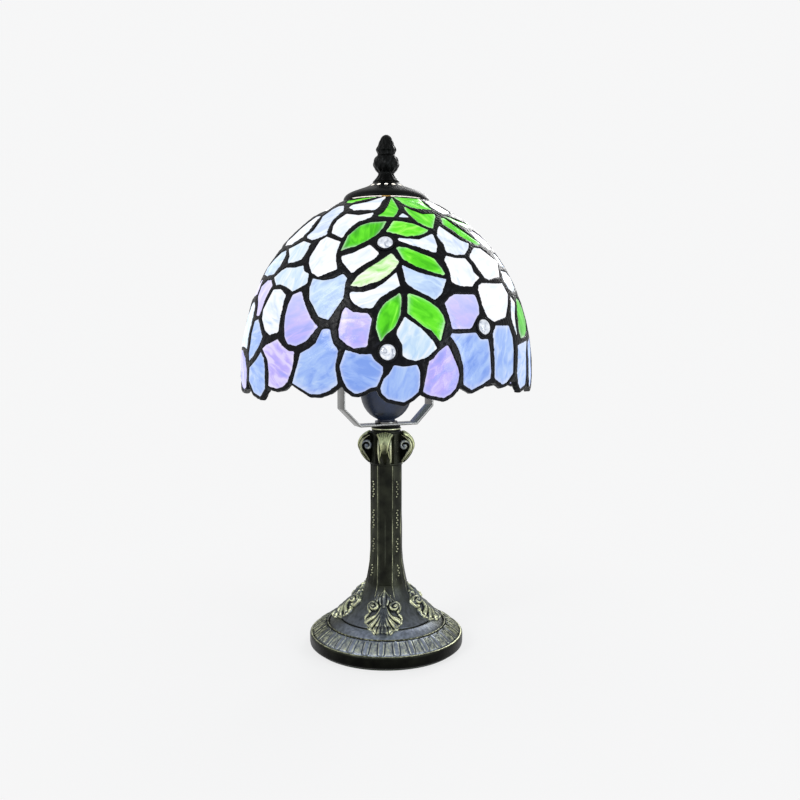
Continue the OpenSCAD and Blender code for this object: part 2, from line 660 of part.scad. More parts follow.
module bulb_glass() {
    color("white")
        difference() {
            union() {
                translate([0, 0, bulb_centre]) sphere(bulb_r);
                translate([0, 0, neck_z - 2]) cylinder(h = bulb_r, r = neck_r);
            }
            translate([0, 0, bulb_centre]) sphere(bulb_r - bulb_wall);
            translate([0, 0, neck_z - 3]) cylinder(h = bulb_r, r = neck_r - bulb_wall);
        }
}

// Glass stem, two lead wires and the filament between them
module filament_mount() {
    stem_h = 16;
    spread = 7;
    color("lightgray")
        translate([0, 0, bulb_cap_z + 1]) {
            cylinder(h = bulb_cap_h - 2 + stem_h, r = 3);
            translate([-spread - 1, -0.6, bulb_cap_h - 4 + stem_h]) cube([2 * spread + 2, 1.2, 1.2]);
            for (side = [-1, 1])
                translate([side * spread, 0, bulb_cap_h - 4 + stem_h]) cylinder(h = 10, r = 0.5);
            translate([-spread, -0.5, bulb_cap_h + 5.4 + stem_h]) cube([2 * spread, 1, 1]);
        }
}

// ---------- Shade ----------

module crown_ring() {
    color("darkgoldenrod")
        translate([0, 0, spider_z + spider_t])
            ring(crown_r + 0.3, crown_r - 8, ring_t);
}

module spider() {
    arms = 3;
    arm_w = 5;
    color("darkgoldenrod")
        translate([0, 0, spider_z])
            difference() {
                union() {
                    cylinder(h = spider_t, r = stud_r + 4.5);
                    for (arm = [0 : arms - 1])
                        rotate([0, 0, 90 + arm * 360 / arms])
                            translate([0, -arm_w / 2, 0])
                                cube([crown_r - 2, arm_w, spider_t]);
                }
                translate([0, 0, -1]) cylinder(h = spider_t + 2, r = stud_r + move_gap);
            }
}

module leading() {
    rim_outlines = [for (outline = all_outlines) if (min(column(outline, 1)) < skirt_lat) outline];
    cut_t = 4 * lead_t;
    color("#15161a")
        difference() {
            union() {
                dome_shell(skirt_lat, crown_lat, 12);
                intersection() {
                    dome_shell(lowest_lat, skirt_lat + 0.5, 2);
                    for (half = half_turns)
                        rotate([0, 0, half])
                            for (outline = rim_outlines)
                                pane(outline, cut_t, lead_w);
                }
            }
            panes(all_outlines, cut_t);
            at_jewels() cylinder(h = cut_t, r = jewel_r, center = true);
        }
}

module leaf_panes() {
    color("limegreen") panes(leaf_outlines, glass_t);
}

module pale_leaf_pane() {
    color("palegreen") panes(pale_leaf_outlines, glass_t);
}

module blue_panes() {
    color("cornflowerblue") panes(blue_outlines, glass_t);
}

module lavender_panes() {
    color("plum") panes(lavender_outlines, glass_t);
}

module sky_panes() {
    color("lightblue") panes(sky_outlines, glass_t);
}

module white_panes() {
    color("white") panes(white_outlines, glass_t);
}

// A jewel is a round block with a domed face
module jewels() {
    dome = 2.2;
    ball = (jewel_r * jewel_r + dome * dome) / (2 * dome);
    color("aliceblue")
        at_jewels()
            intersection() {
                translate([0, 0, -glass_t / 2]) cylinder(h = glass_t + 2 * dome, r = jewel_r);
                translate([0, 0, glass_t / 2 + dome - ball]) sphere(ball);
            }
}

// ---------- Cap and finial ----------

module vase_cap() {
    vents = 16;
    vent_r = 1.3;
    vent_ring_r = 13;
    outside = [[cap_r - 0.6, 0], [cap_r, 0.7], [cap_r, 1.8], [cap_r - 0.7, 2.7], [cap_r - 2.6, 0.42 * cap_h],
        [cap_r * 0.7, 0.65 * cap_h], [13.7, 0.86 * cap_h], [cap_neck_r, cap_h]];
    inside = [[0, cap_h - cap_t], [cap_neck_r - 0.4, cap_h - cap_t], [13.2, 0.86 * cap_h - cap_t],
        [cap_r * 0.7 - 0.4, 0.65 * cap_h - cap_t], [cap_r - 3.2, 0.42 * cap_h - cap_t], [cap_r - 1.3, 0.9],
        [cap_r - 1.3, 0]];
    color("#1b1a18")
        translate([0, 0, cap_z])
            difference() {
                rotate_extrude() polygon(concat(outside, [[0, cap_h]], inside));
                translate([0, 0, -1]) cylinder(h = cap_h + 2, r = stud_r + move_gap);
                for (vent = [0 : vents - 1])
                    rotate([0, 0, vent * 360 / vents])
                        translate([vent_ring_r, 0, -1]) cylinder(h = cap_h + 2, r = vent_r);
            }
}

module finial_washer() {
    color("#1b1a18")
        translate([0, 0, cap_top])
            ring(finial_r + 0.2, stud_r + move_gap, finial_washer_t);
}

// Three swelling tiers on a flared foot, bored for the stud
module finial() {
    // Each point is [share of the largest radius, share of the height]
    outline = [[0.6, 0], [0.99, 0.02], [0.93, 0.07], [0.66, 0.13], [0.61, 0.18], [0.7, 0.21], [0.89, 0.28],
        [1, 0.375], [0.93, 0.47], [0.73, 0.56], [0.65, 0.605], [0.77, 0.665], [0.78, 0.72], [0.69, 0.79],
        [0.51, 0.87], [0.27, 0.95], [0, 1]];
    color("#141413")
        translate([0, 0, finial_z])
            difference() {
                rotate_extrude()
                    polygon(concat([for (p = outline) [p[0] * finial_r, p[1] * finial_h]], [[0, 0]]));
                translate([0, 0, -1]) cylinder(h = 1 + stud_top - finial_z + 0.5, r = stud_r + 0.05);
            }
}

base_felt();
ballast_weight();
base_casting();
cord_bushing();
base_washer();
base_nut();
tie_rod();
column_shaft();
capital();
capital_leaves();
top_collar();
harp_strap();
harp_nut();
harp_stud();
stud_nut();
socket_cup();
socket_insert();
socket_shell();
screw_shell();
centre_contact();
terminal_screws();
bulb_cap();
bulb_insulator();
bulb_contact();
bulb_glass();
filament_mount();
crown_ring();
spider();
leading();
leaf_panes();
pale_leaf_pane();
blue_panes();
lavender_panes();
sky_panes();
white_panes();
jewels();
vase_cap();
finial_washer();
finial();
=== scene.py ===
import bmesh
import bpy
import math
import numpy as np
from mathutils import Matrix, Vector, noise


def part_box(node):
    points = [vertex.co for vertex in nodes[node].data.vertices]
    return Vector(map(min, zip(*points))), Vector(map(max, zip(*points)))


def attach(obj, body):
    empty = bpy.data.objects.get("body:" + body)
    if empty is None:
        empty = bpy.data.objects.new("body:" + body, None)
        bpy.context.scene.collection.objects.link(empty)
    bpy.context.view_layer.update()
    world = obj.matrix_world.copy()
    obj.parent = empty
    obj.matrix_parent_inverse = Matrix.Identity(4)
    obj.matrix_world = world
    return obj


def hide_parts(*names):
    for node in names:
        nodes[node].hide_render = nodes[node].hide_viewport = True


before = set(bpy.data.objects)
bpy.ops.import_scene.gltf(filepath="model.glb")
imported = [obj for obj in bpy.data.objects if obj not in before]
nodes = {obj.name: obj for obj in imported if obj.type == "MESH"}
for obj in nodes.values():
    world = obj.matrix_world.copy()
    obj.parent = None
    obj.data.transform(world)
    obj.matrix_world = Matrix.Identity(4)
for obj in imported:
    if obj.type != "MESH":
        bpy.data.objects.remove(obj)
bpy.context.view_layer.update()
MM = 0.001
rng = np.random.default_rng(7)


# ---------------------------------------------------------------- camera, light and floor

def add_light(name, place, aim, size, watts, colour=(1, 1, 1)):
    data = bpy.data.lights.new(name, "AREA")
    data.shape = "RECTANGLE"
    data.size, data.size_y = size
    data.energy = watts
    data.color = colour
    lamp = bpy.data.objects.new(name, data)
    bpy.context.scene.collection.objects.link(lamp)
    lamp.location = place
    lamp.rotation_euler = (Vector(aim) - Vector(place)).to_track_quat("-Z", "Y").to_euler()


def set_stage():
    scene = bpy.context.scene
    scene.view_settings.view_transform = "Standard"
    cam = bpy.data.cameras.new("camera")
    cam.lens, cam.sensor_width, cam.shift_x = 38.25, 36, 0.01725
    cam.clip_start, cam.clip_end = 0.02, 200
    camera = bpy.data.objects.new("camera", cam)
    scene.collection.objects.link(camera)
    camera.location = (0, -0.595, 0.2282)
    camera.rotation_euler = (math.radians(90 - 5.1), 0, 0)
    scene.camera = camera

    world = bpy.data.worlds.new("studio")
    scene.world = world
    world.use_nodes = True
    tree = world.node_tree
    back = tree.nodes["Background"]
    back.inputs["Color"].default_value = (0.925, 0.926, 0.929, 1)
    path = tree.nodes.new("ShaderNodeLightPath")
    fac = tree.nodes.new("ShaderNodeMapRange")
    fac.inputs["To Min"].default_value = 0.62
    fac.inputs["To Max"].default_value = 1.0
    tree.links.new(path.outputs["Is Camera Ray"], fac.inputs["Value"])
    tree.links.new(fac.outputs["Result"], back.inputs["Strength"])

    add_light("key", (-0.9, -1.0, 0.9), (0, 0, 0.12), (0.5, 0.7), 9)
    add_light("fill", (1.0, -0.8, 0.35), (0, 0, 0.1), (0.4, 0.8), 6, (0.92, 0.96, 1))
    add_light("rim", (0.5, 1.1, 0.8), (0, 0, 0.15), (0.6, 0.6), 7)

    bm = bmesh.new()
    rings = [0.0, 0.15, 0.4, 1.2, 4, 12, 40]
    previous = None
    for r in rings:
        if r == 0:
            previous = [bm.verts.new((0, 0, 0))]
            continue
        ring = [bm.verts.new((r * math.cos(a), r * math.sin(a), 0)) for a in np.linspace(0, 2 * math.pi, 65)[:-1]]
        for i in range(64):
            j = (i + 1) % 64
            if len(previous) == 1:
                bm.faces.new((previous[0], ring[i], ring[j]))
            else:
                bm.faces.new((previous[i], ring[i], ring[j], previous[j]))
        previous = ring
    mesh = bpy.data.meshes.new("floor")
    bm.to_mesh(mesh)
    floor = bpy.data.objects.new("floor", mesh)
    scene.collection.objects.link(floor)
    m = bpy.data.materials.new("floor")
    m.use_nodes = True
    t = m.node_tree
    t.nodes.clear()
    out = t.nodes.new("ShaderNodeOutputMaterial")
    mix = t.nodes.new("ShaderNodeMixShader")
    diffuse = t.nodes.new("ShaderNodeBsdfDiffuse")
    diffuse.inputs["Color"].default_value = (0.86, 0.86, 0.86, 1)
    glow = t.nodes.new("ShaderNodeEmission")
    glow.inputs["Color"].default_value = (0.925, 0.926, 0.929, 1)
    coord = t.nodes.new("ShaderNodeNewGeometry")
    length = t.nodes.new("ShaderNodeVectorMath")
    length.operation = "LENGTH"
    ramp = t.nodes.new("ShaderNodeMapRange")
    ramp.interpolation_type = "SMOOTHSTEP"
    ramp.inputs["From Min"].default_value = 0.04
    ramp.inputs["From Max"].default_value = 0.35
    ramp.inputs["To Min"].default_value = 0.8
    ramp.inputs["To Max"].default_value = 1.0
    t.links.new(coord.outputs["Position"], length.inputs[0])
    t.links.new(length.outputs["Value"], ramp.inputs["Value"])
    t.links.new(ramp.outputs["Result"], mix.inputs["Fac"])
    t.links.new(diffuse.outputs["BSDF"], mix.inputs[1])
    t.links.new(glow.outputs["Emission"], mix.inputs[2])
    t.links.new(mix.outputs["Shader"], out.inputs["Surface"])
    mesh.materials.append(m)


# ---------------------------------------------------------------- material tools

def linear(r, g, b):
    """A colour given in 8 bits a channel as a linear one."""
    return tuple(((c / 255 + 0.055) / 1.055) ** 2.4 if c > 10 else c / 3294 for c in (r, g, b)) + (1.0,)


class Mat:
    """A small helper around a Principled material's node tree."""

    def __init__(self, name, **values):
        self.m = bpy.data.materials.new(name)
        self.m.use_nodes = True
        self.t = self.m.node_tree
        self.bsdf = self.t.nodes["Principled BSDF"]
        for key, value in values.items():
            self.bsdf.inputs[key.replace("_", " ")].default_value = value

    def node(self, kind, values=None, **attributes):
        n = self.t.nodes.new("ShaderNode" + kind)
        for key, value in attributes.items():
            setattr(n, key, value)
        for key, value in (values or {}).items():
            n.inputs[key].default_value = value
        return n

    def link(self, a, b):
        self.t.links.new(a, b)

    def coords(self, stretch=(1, 1, 1)):
        place = self.node("TexCoord")
        mapping = self.node("Mapping", {"Scale": stretch})
        self.link(place.outputs["Object"], mapping.inputs["Vector"])
        return mapping.outputs["Vector"]

    def attribute(self, name, output="Fac"):
        return self.node("Attribute", attribute_name=name).outputs[output]

    def noise(self, scale, detail=3, vector=None, distortion=0.0, rough=0.5):
        n = self.node("TexNoise", {"Scale": scale, "Detail": detail, "Distortion": distortion, "Roughness": rough})
        self.link(vector if vector is not None else self.coords(), n.inputs["Vector"])
        return n.outputs["Fac"]

    def ramp(self, fac, stops):
        r = self.node("ValToRGB")
        elements = r.color_ramp.elements
        while len(elements) < len(stops):
            elements.new(0.5)
        for element, (at, colour) in zip(elements, stops):
            element.position = at
            element.color = colour
        self.link(fac, r.inputs["Fac"])
        return r.outputs["Color"]

    def grey(self, fac, low, high, a=0.0, b=1.0):
        n = self.node("MapRange", {"From Min": a, "From Max": b, "To Min": low, "To Max": high})
        self.link(fac, n.inputs["Value"])
        return n.outputs["Result"]

    def math(self, op, a, b):
        n = self.node("Math", operation=op, use_clamp=op != "MULTIPLY")
        for i, x in enumerate((a, b)):
            if isinstance(x, (int, float)):
                n.inputs[i].default_value = x
            else:
                self.link(x, n.inputs[i])
        return n.outputs["Value"]

    def mix(self, fac, a, b, blend="MIX"):
        n = self.node("Mix", data_type="RGBA", blend_type=blend)
        if isinstance(fac, (int, float)):
            n.inputs[0].default_value = fac
        else:
            self.link(fac, n.inputs[0])
        for socket, x in ((n.inputs[6], a), (n.inputs[7], b)):
            if isinstance(x, tuple):
                socket.default_value = x
            else:
                self.link(x, socket)
        return n.outputs[2]

    def bump(self, height, distance, strength=1.0):
        n = self.node("Bump", {"Distance": distance, "Strength": strength})
        self.link(height, n.inputs["Height"])
        self.link(n.outputs["Normal"], self.bsdf.inputs["Normal"])

    def to(self, output, socket):
        self.link(output, self.bsdf.inputs[socket])


def bronze(name, dark, mid, cool_grey, gold, gold_from=0.6):
    """Cast metal with a dark patina, a painted cool grey sheen on its flats, olive gold where raised edges are rubbed,
    and painted shade darkening its hollows.
    """
    m = Mat(name, Metallic=0.8, IOR=1.5)
    wear = m.attribute("wear")
    cool = m.attribute("cool")
    patches = m.noise(95, 4)
    runs = m.noise(420, 3, m.coords((1, 1, 0.16)))
    fine = m.noise(1100, 3)
    flats = m.mix(m.grey(patches, 0, 1, 0.38, 0.66), dark, mid)
    # painted sheen: the flats turn cool grey as a painted reflection of the front light
    flats = m.mix(m.math("MULTIPLY", cool, m.grey(runs, 0.55, 1.0, 0.35, 0.6)), flats, cool_grey)
    rub = m.math("ADD", wear, m.grey(fine, -0.1, 0.1))
    rub = m.math("ADD", rub, m.grey(runs, -0.16, 0.16, 0.3, 0.7))
    rub = m.grey(rub, 0, 1, gold_from, gold_from + 0.38)
    colour = m.mix(rub, flats, gold)
    # painted shade: low values of the first attribute, in hollows, grooves and sunk ground, darken the colour and lower
    # the specular
    painted_cavity_shade = m.grey(wear, 0.12, 1.0, 0.0, 0.3)
    shade = m.node("CombineColor")
    for i in range(3):
        m.link(painted_cavity_shade, shade.inputs[i])
    m.to(m.mix(1.0, colour, shade.outputs["Color"], "MULTIPLY"), "Base Color")
    m.to(m.grey(m.math("ADD", fine, m.grey(rub, 0.12, -0.08)), 0.26, 0.52), "Roughness")
    m.to(m.grey(wear, 0.15, 0.5, 0.0, 0.2), "Specular IOR Level")
    m.bump(m.math("ADD", m.grey(fine, 0, 0.55), m.grey(runs, 0, 0.45)), 0.0002, 0.75)
    return m.m


def plain_metal(name, colour, rough, brushed=(1, 1, 1), metallic=1.0, scale=600):
    m = Mat(name, Metallic=metallic)
    grain = m.noise(scale, 3, m.coords(brushed))
    cloud = m.noise(120, 3)
    dark = tuple(c * 0.6 for c in colour[:3]) + (1,)
    m.to(m.mix(m.grey(cloud, 0, 0.7, 0.3, 0.75), colour, dark), "Base Color")
    m.to(m.grey(grain, rough * 0.7, rough * 1.4), "Roughness")
    m.bump(grain, 0.00006, 0.6)
    return m.m


def plastic(name, colour, light, rough=0.4, coat=0.0):
    m = Mat(name)
    m.bsdf.inputs["Coat Weight"].default_value = coat
    cloud = m.noise(60, 4)
    fine = m.noise(1500, 2)
    m.to(m.mix(m.grey(cloud, 0, 1, 0.35, 0.75), colour, light), "Base Color")
    m.to(m.grey(cloud, rough * 0.8, rough * 1.3), "Roughness")
    m.bump(fine, 0.00004, 0.5)
    return m.m


def lead_material():
    m = Mat("lead_lines", Metallic=0.0)
    m.bsdf.inputs["Specular IOR Level"].default_value = 0.14
    lumps = m.noise(260, 3)
    fine = m.noise(1400, 2)
    m.to(m.ramp(lumps, [(0.35, linear(3, 4, 7)), (0.6, linear(7, 8, 13)), (0.8, linear(26, 28, 36))]), "Base Color")
    m.to(m.grey(lumps, 0.24, 0.46, 0.3, 0.7), "Roughness")
    m.bump(m.math("ADD", m.grey(lumps, 0, 0.8), m.grey(fine, 0, 0.2)), 0.0005, 0.7)
    return m.m


def glass_material(name, tones, glow, streak=2.4, seedy=0.25):
    """Streaky art glass whose light from the bulb inside is painted on as glow. tones run from its darkest streak to
    its lightest.
    """
    m = Mat(name, Roughness=0.16, IOR=1.5)
    m.bsdf.inputs["Specular IOR Level"].default_value = 0.3
    flow = m.attribute("flow", "Vector")
    warp = m.node("TexNoise", {"Scale": 0.9, "Detail": 2.0})
    m.link(flow, warp.inputs["Vector"])
    shift = m.node("VectorMath", {"Scale": 1.3}, operation="SCALE")
    m.link(warp.outputs["Color"], shift.inputs[0])
    moved = m.node("VectorMath", operation="ADD")
    m.link(flow, moved.inputs[0])
    m.link(shift.outputs["Vector"], moved.inputs[1])
    streaks = m.noise(streak, 4, moved.outputs["Vector"], 0.6, 0.5)
    wisps = m.noise(streak * 3.2, 4, moved.outputs["Vector"], 1.2, 0.6)
    tone = m.math("ADD", m.math("MULTIPLY", streaks, 0.87), m.math("MULTIPLY", wisps, 0.13))
    tone = m.math("ADD", tone, m.grey(m.attribute("tint"), -0.13, 0.13))
    n = len(tones)
    stops = [(0.30 + 0.40 * i / (n - 1), linear(*t)) for i, t in enumerate(tones)]
    colour = m.ramp(tone, stops)
    lit = m.attribute("lit")
    m.to(m.mix(1.0, colour, (0.08, 0.08, 0.08, 1), "MULTIPLY"), "Base Color")
    # painted light: the glow turns whiter where the pane is most lit, and paler in a band round each pane's edge
    painted_glow_colour = m.mix(m.grey(lit, 0.0, glow[2], 0.55, 1.0), colour, (1, 1, 1, 1))
    painted_glow_colour = m.mix(m.math("MULTIPLY", m.attribute("rim"), 0.34), painted_glow_colour, (0.93, 0.91, 0.96, 1))
    strength = m.node("CombineColor")
    level = m.grey(lit, glow[0], glow[1])
    for i in range(3):
        m.link(level, strength.inputs[i])
    m.to(m.mix(1.0, painted_glow_colour, strength.outputs["Color"], "MULTIPLY"), "Emission Color")
    m.bsdf.inputs["Emission Strength"].default_value = 1.0
    ripple = m.node("TexNoise", {"Scale": 170.0, "Detail": 2.0})
    m.link(m.coords(), ripple.inputs["Vector"])
    m.bump(m.math("ADD", m.math("MULTIPLY", ripple.outputs["Fac"], 1 - seedy), m.math("MULTIPLY", wisps, seedy)),
           0.0006, 0.5)
    return m.m


# ---------------------------------------------------------------- mesh tools

def make(name, verts, faces, material, body, stands_for=(), smooth=True, attributes=None):
    """A mesh piece from corners in millimetres. attributes maps a name to one number or vector a corner."""
    mesh = bpy.data.meshes.new(name)
    mesh.from_pydata((np.asarray(verts, float) * MM).tolist(), [], faces if isinstance(faces, list) else faces.tolist())
    for key, values in (attributes or {}).items():
        values = np.asarray(values, np.float32)
        kind = "FLOAT" if values.ndim == 1 else "FLOAT_VECTOR"
        layer = mesh.attributes.new(key, kind, "POINT")
        layer.data.foreach_set("value" if kind == "FLOAT" else "vector", values.ravel())
    mesh.validate()
    piece = bpy.data.objects.new(name, mesh)
    bpy.context.scene.collection.objects.link(piece)
    mesh.materials.append(material)
    if smooth:
        mesh.polygons.foreach_set("use_smooth", [True] * len(mesh.polygons))
    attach(piece, body)
    if stands_for:
        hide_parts(*([stands_for] if isinstance(stands_for, str) else stands_for))
    return piece


class Parts:
    """Collects surfaces that end up as one piece."""

    def __init__(self):
        self.v, self.f, self.wear, self.cool, self.count = [], [], [], [], 0

    def add(self, verts, faces, wear=0.3, cool=0.0):
        verts = np.asarray(verts, float)
        self.v.append(verts)
        self.f += [[i + self.count for i in face] for face in (faces if isinstance(faces, list) else faces.tolist())]
        self.wear.append(np.broadcast_to(np.asarray(wear, float), (len(verts),)).copy())
        self.cool.append(np.broadcast_to(np.asarray(cool, float), (len(verts),)).copy())
        self.count += len(verts)

    def make(self, name, material, body, stands_for=(), slot=None, turn=0.0):
        v = np.concatenate(self.v)
        if turn:
            a = math.radians(turn)
            v = np.stack([v[:, 0] * math.cos(a) - v[:, 1] * math.sin(a), v[:, 0] * math.sin(a) + v[:, 1] * math.cos(a),
                          v[:, 2]], 1)
        values = {"wear": np.concatenate(self.wear), "cool": np.concatenate(self.cool)}
        return make(name, v, self.f, material, body, stands_for, attributes=values)


def grid_faces(rows, columns, closed=False, flip=False):
    i, j = np.meshgrid(np.arange(rows - 1), np.arange(columns if closed else columns - 1), indexing="ij")
    a = i * columns + j
    b = i * columns + (j + 1) % columns
    quads = np.stack([a, b, b + columns, a + columns], -1).reshape(-1, 4)
    return quads[:, ::-1] if flip else quads


def resample(points, step):
    """A polyline with corners no farther apart than step along its length."""
    p = np.asarray(points, float)
    out = [p[0]]
    for a, b in zip(p[:-1], p[1:]):
        n = max(1, int(math.ceil(np.linalg.norm(b - a) / step)))
        out += [a + (b - a) * k / n for k in range(1, n + 1)]
    return np.array(out)


def curve(points, n=24):
    """A smooth curve through points (Catmull-Rom), n steps a span."""
    p = np.asarray(points, float)
    p = np.vstack([2 * p[0] - p[1], p, 2 * p[-1] - p[-2]])
    out = []
    for i in range(1, len(p) - 2):
        for t in np.linspace(0, 1, n, endpoint=False):
            a, b, c, d = p[i - 1], p[i], p[i + 1], p[i + 2]
            out.append(0.5 * ((2 * b) + (c - a) * t + (2 * a - 5 * b + 4 * c - d) * t * t
                              + (3 * b - a - 3 * c + d) * t ** 3))
    out.append(p[-2])
    return np.array(out)


def lathe(profile, n, relief=None, wear=0.3, closed_ends=True):
    """Turns a profile of [r, z] about the axis. relief(angle, index along the profile) gives an offset and the wear."""
    p = np.asarray(profile, float)
    tangent = np.gradient(p, axis=0)
    tangent /= np.maximum(np.linalg.norm(tangent, axis=1, keepdims=True), 1e-9)
    normal = np.stack([tangent[:, 1], -tangent[:, 0]], 1)
    angle = np.linspace(0, 2 * math.pi, n, endpoint=False)
    rows, columns = np.meshgrid(np.arange(len(p)), angle, indexing="ij")
    if relief:
        off, w = relief(columns, rows)
    else:
        off, w = np.zeros_like(columns), np.broadcast_to(np.asarray(wear, float).reshape(-1, 1), columns.shape)
    r = p[rows, 0] + off * normal[rows, 0]
    z = p[rows, 1] + off * normal[rows, 1]
    v = np.stack([r * np.sin(columns), -r * np.cos(columns), z], -1).reshape(-1, 3)
    faces = grid_faces(len(p), n, True).tolist()
    w = np.broadcast_to(w, columns.shape).reshape(-1)
    if closed_ends:
        faces.append(list(range(n))[::-1])
        faces.append([(len(p) - 1) * n + k for k in range(n)])
    return v, faces, w


def ridge(X, Y, path, width, height):
    """Height of a half-round ridge along a path, over a grid. width and height run along the path."""
    path = np.asarray(path, float)
    n = len(path)
    width = np.interp(np.linspace(0, 1, n), np.linspace(0, 1, len(width)), width)
    height = np.interp(np.linspace(0, 1, n), np.linspace(0, 1, len(height)), height)
    best = np.zeros_like(X)
    for i in range(n - 1):
        a, d = path[i], path[i + 1] - path[i]
        t = np.clip(((X - a[0]) * d[0] + (Y - a[1]) * d[1]) / max(d @ d, 1e-9), 0, 1)
        w = width[i] + (width[i + 1] - width[i]) * t
        h = height[i] + (height[i + 1] - height[i]) * t
        q = ((X - a[0] - d[0] * t) ** 2 + (Y - a[1] - d[1] * t) ** 2) / w ** 2
        best = np.maximum(best, h * np.sqrt(np.clip(1 - q, 0, 1)))
    return best


def spiral(centre, r0, r1, a0, turns, n=40):
    t = np.linspace(0, 1, n)
    a = np.radians(a0) + 2 * math.pi * turns * t
    r = r0 + (r1 - r0) * t ** 0.8
    return np.stack([centre[0] + r * np.cos(a), centre[1] + r * np.sin(a)], 1)


def sweep(path, radii, n=8):
    """A tube along a path in space."""
    path = np.asarray(path, float)
    radii = np.interp(np.linspace(0, 1, len(path)), np.linspace(0, 1, len(radii)), radii)
    tangent = np.gradient(path, axis=0)
    tangent /= np.linalg.norm(tangent, axis=1, keepdims=True)
    side = np.cross(tangent[0], [0, 0, 1])
    if np.linalg.norm(side) < 0.1:
        side = np.cross(tangent[0], [1, 0, 0])
    verts = []
    for k in range(len(path)):
        side = side - tangent[k] * (side @ tangent[k])
        side /= np.linalg.norm(side)
        up = np.cross(tangent[k], side)
        a = np.linspace(0, 2 * math.pi, n, endpoint=False)
        verts.append(path[k] + radii[k] * (np.cos(a)[:, None] * side + np.sin(a)[:, None] * up))
    faces = grid_faces(len(path), n, True).tolist()
    faces += [list(range(n))[::-1], [(len(path) - 1) * n + k for k in range(n)]]
    return np.concatenate(verts), faces


def ball(centre, radii, n=12):
    lat = np.linspace(-math.pi / 2, math.pi / 2, n // 2 + 3)[1:-1]
    lon = np.linspace(0, 2 * math.pi, n, endpoint=False)
    a, b = np.meshgrid(lat, lon, indexing="ij")
    v = np.stack([np.cos(a) * np.cos(b), np.cos(a) * np.sin(b), np.sin(a)], -1).reshape(-1, 3)
    faces = grid_faces(len(lat), n, True).tolist()
    faces += [list(range(n))[::-1], [(len(lat) - 1) * n + k for k in range(n)]]
    return v * np.asarray(radii, float) + np.asarray(centre, float), faces


def turned(v, degrees):
    a = math.radians(degrees)
    v = np.asarray(v, float)
    return np.stack([v[:, 0] * math.cos(a) - v[:, 1] * math.sin(a), v[:, 0] * math.sin(a) + v[:, 1] * math.cos(a), v[:, 2]], 1)


def clean_copy(node):
    """The CAD mesh as a new bmesh with shared corners."""
    bm = bmesh.new()
    bm.from_mesh(nodes[node].data)
    bmesh.ops.remove_doubles(bm, verts=bm.verts, dist=2e-6)
    return bm


def applied(piece):
    """Turns a piece's modifiers into its mesh."""
    depsgraph = bpy.context.evaluated_depsgraph_get()
    mesh = bpy.data.meshes.new_from_object(piece.evaluated_get(depsgraph))
    old = piece.data
    piece.modifiers.clear()
    piece.data = mesh
    bpy.data.meshes.remove(old)


def softened(node, material, body, bevel, segments=3):
    """The CAD shape with its sharp edges rounded as a made part's are."""
    bm = clean_copy(node)
    bmesh.ops.dissolve_limit(bm, angle_limit=math.radians(0.5), verts=bm.verts, edges=bm.edges)
    mesh = bpy.data.meshes.new(node + "_made")
    bm.to_mesh(mesh)
    bm.free()
    piece = bpy.data.objects.new(node + "_made", mesh)
    bpy.context.scene.collection.objects.link(piece)
    mod = piece.modifiers.new("round", "BEVEL")
    mod.width, mod.segments, mod.limit_method, mod.angle_limit = bevel * MM, segments, "ANGLE", math.radians(35)
    mod.use_clamp_overlap = True
    applied(piece)
    bm = bmesh.new()
    bm.from_mesh(piece.data)
    bmesh.ops.triangulate(bm, faces=[f for f in bm.faces if len(f.verts) > 4])
    bm.to_mesh(piece.data)
    bm.free()
    piece.data.materials.clear()
    piece.data.materials.append(material)
    piece.data.polygons.foreach_set("use_smooth", [True] * len(piece.data.polygons))
    piece.data.set_sharp_from_angle(angle=math.radians(28))
    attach(piece, body)
    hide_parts(node)
    return piece


# ---------------------------------------------------------------- the foot

TURN = -4.0   # the cast stand is fitted a few degrees round from the shade's front


def foot_meridian():
    """The foot's outer face from its top edge down and out, as [r, z]."""
    u = np.linspace(1, 0, 40)
    cone = np.stack([14.8 + 17.8 * (1 - u) ** 1.7, 20.9 + 25.1 * u], 1)
    ring = curve([[33.0, 20.2], [34.2, 20.3], [36.6, 19.3], [39.4, 17.5], [40.6, 16.4]], 8)
    return cone, ring


def tongue_relief(columns, rows):
    """Rounded tongues, each in a sunk outline, with blocks of fine reeds between them."""
    pitch = 2 * math.pi / 30
    a = (columns + pitch / 2) % pitch - pitch / 2
    t = rows / 27.0
    x = np.abs(a * (42 + 10 * (1 - t)))
    end = np.clip(np.minimum((t - 0.04) / 0.16, (0.97 - t) / 0.1), 0, 1)
    half = 2.2 * np.sqrt(np.clip(end * (2 - end), 0, 1)) + 1e-6
    tongue = np.where(x < half, 0.85 * np.sqrt(np.clip(1 - (x / half) ** 2, 0, 1)), 0)
    moat = np.exp(-((x - half - 0.28) / 0.3) ** 2) * (end > 0)
    reeds = 0.34 * np.abs(np.sin(math.pi * (x - 2.75) / 0.86)) * (x > 2.75) * np.clip(end * 2, 0, 1)
    rim = np.exp(-((x - 0.72 * half) / 0.3) ** 2) * (end > 0)
    # painted shade: the sunk outlines round the tongues are darkened; their rims and the reeds are rubbed light
    wear = 0.37 + 0.42 * rim + 0.95 * reeds - 0.3 * moat - 0.04 * (x < 0.5 * half)
    return tongue + reeds - 0.55 * moat - 0.35, wear


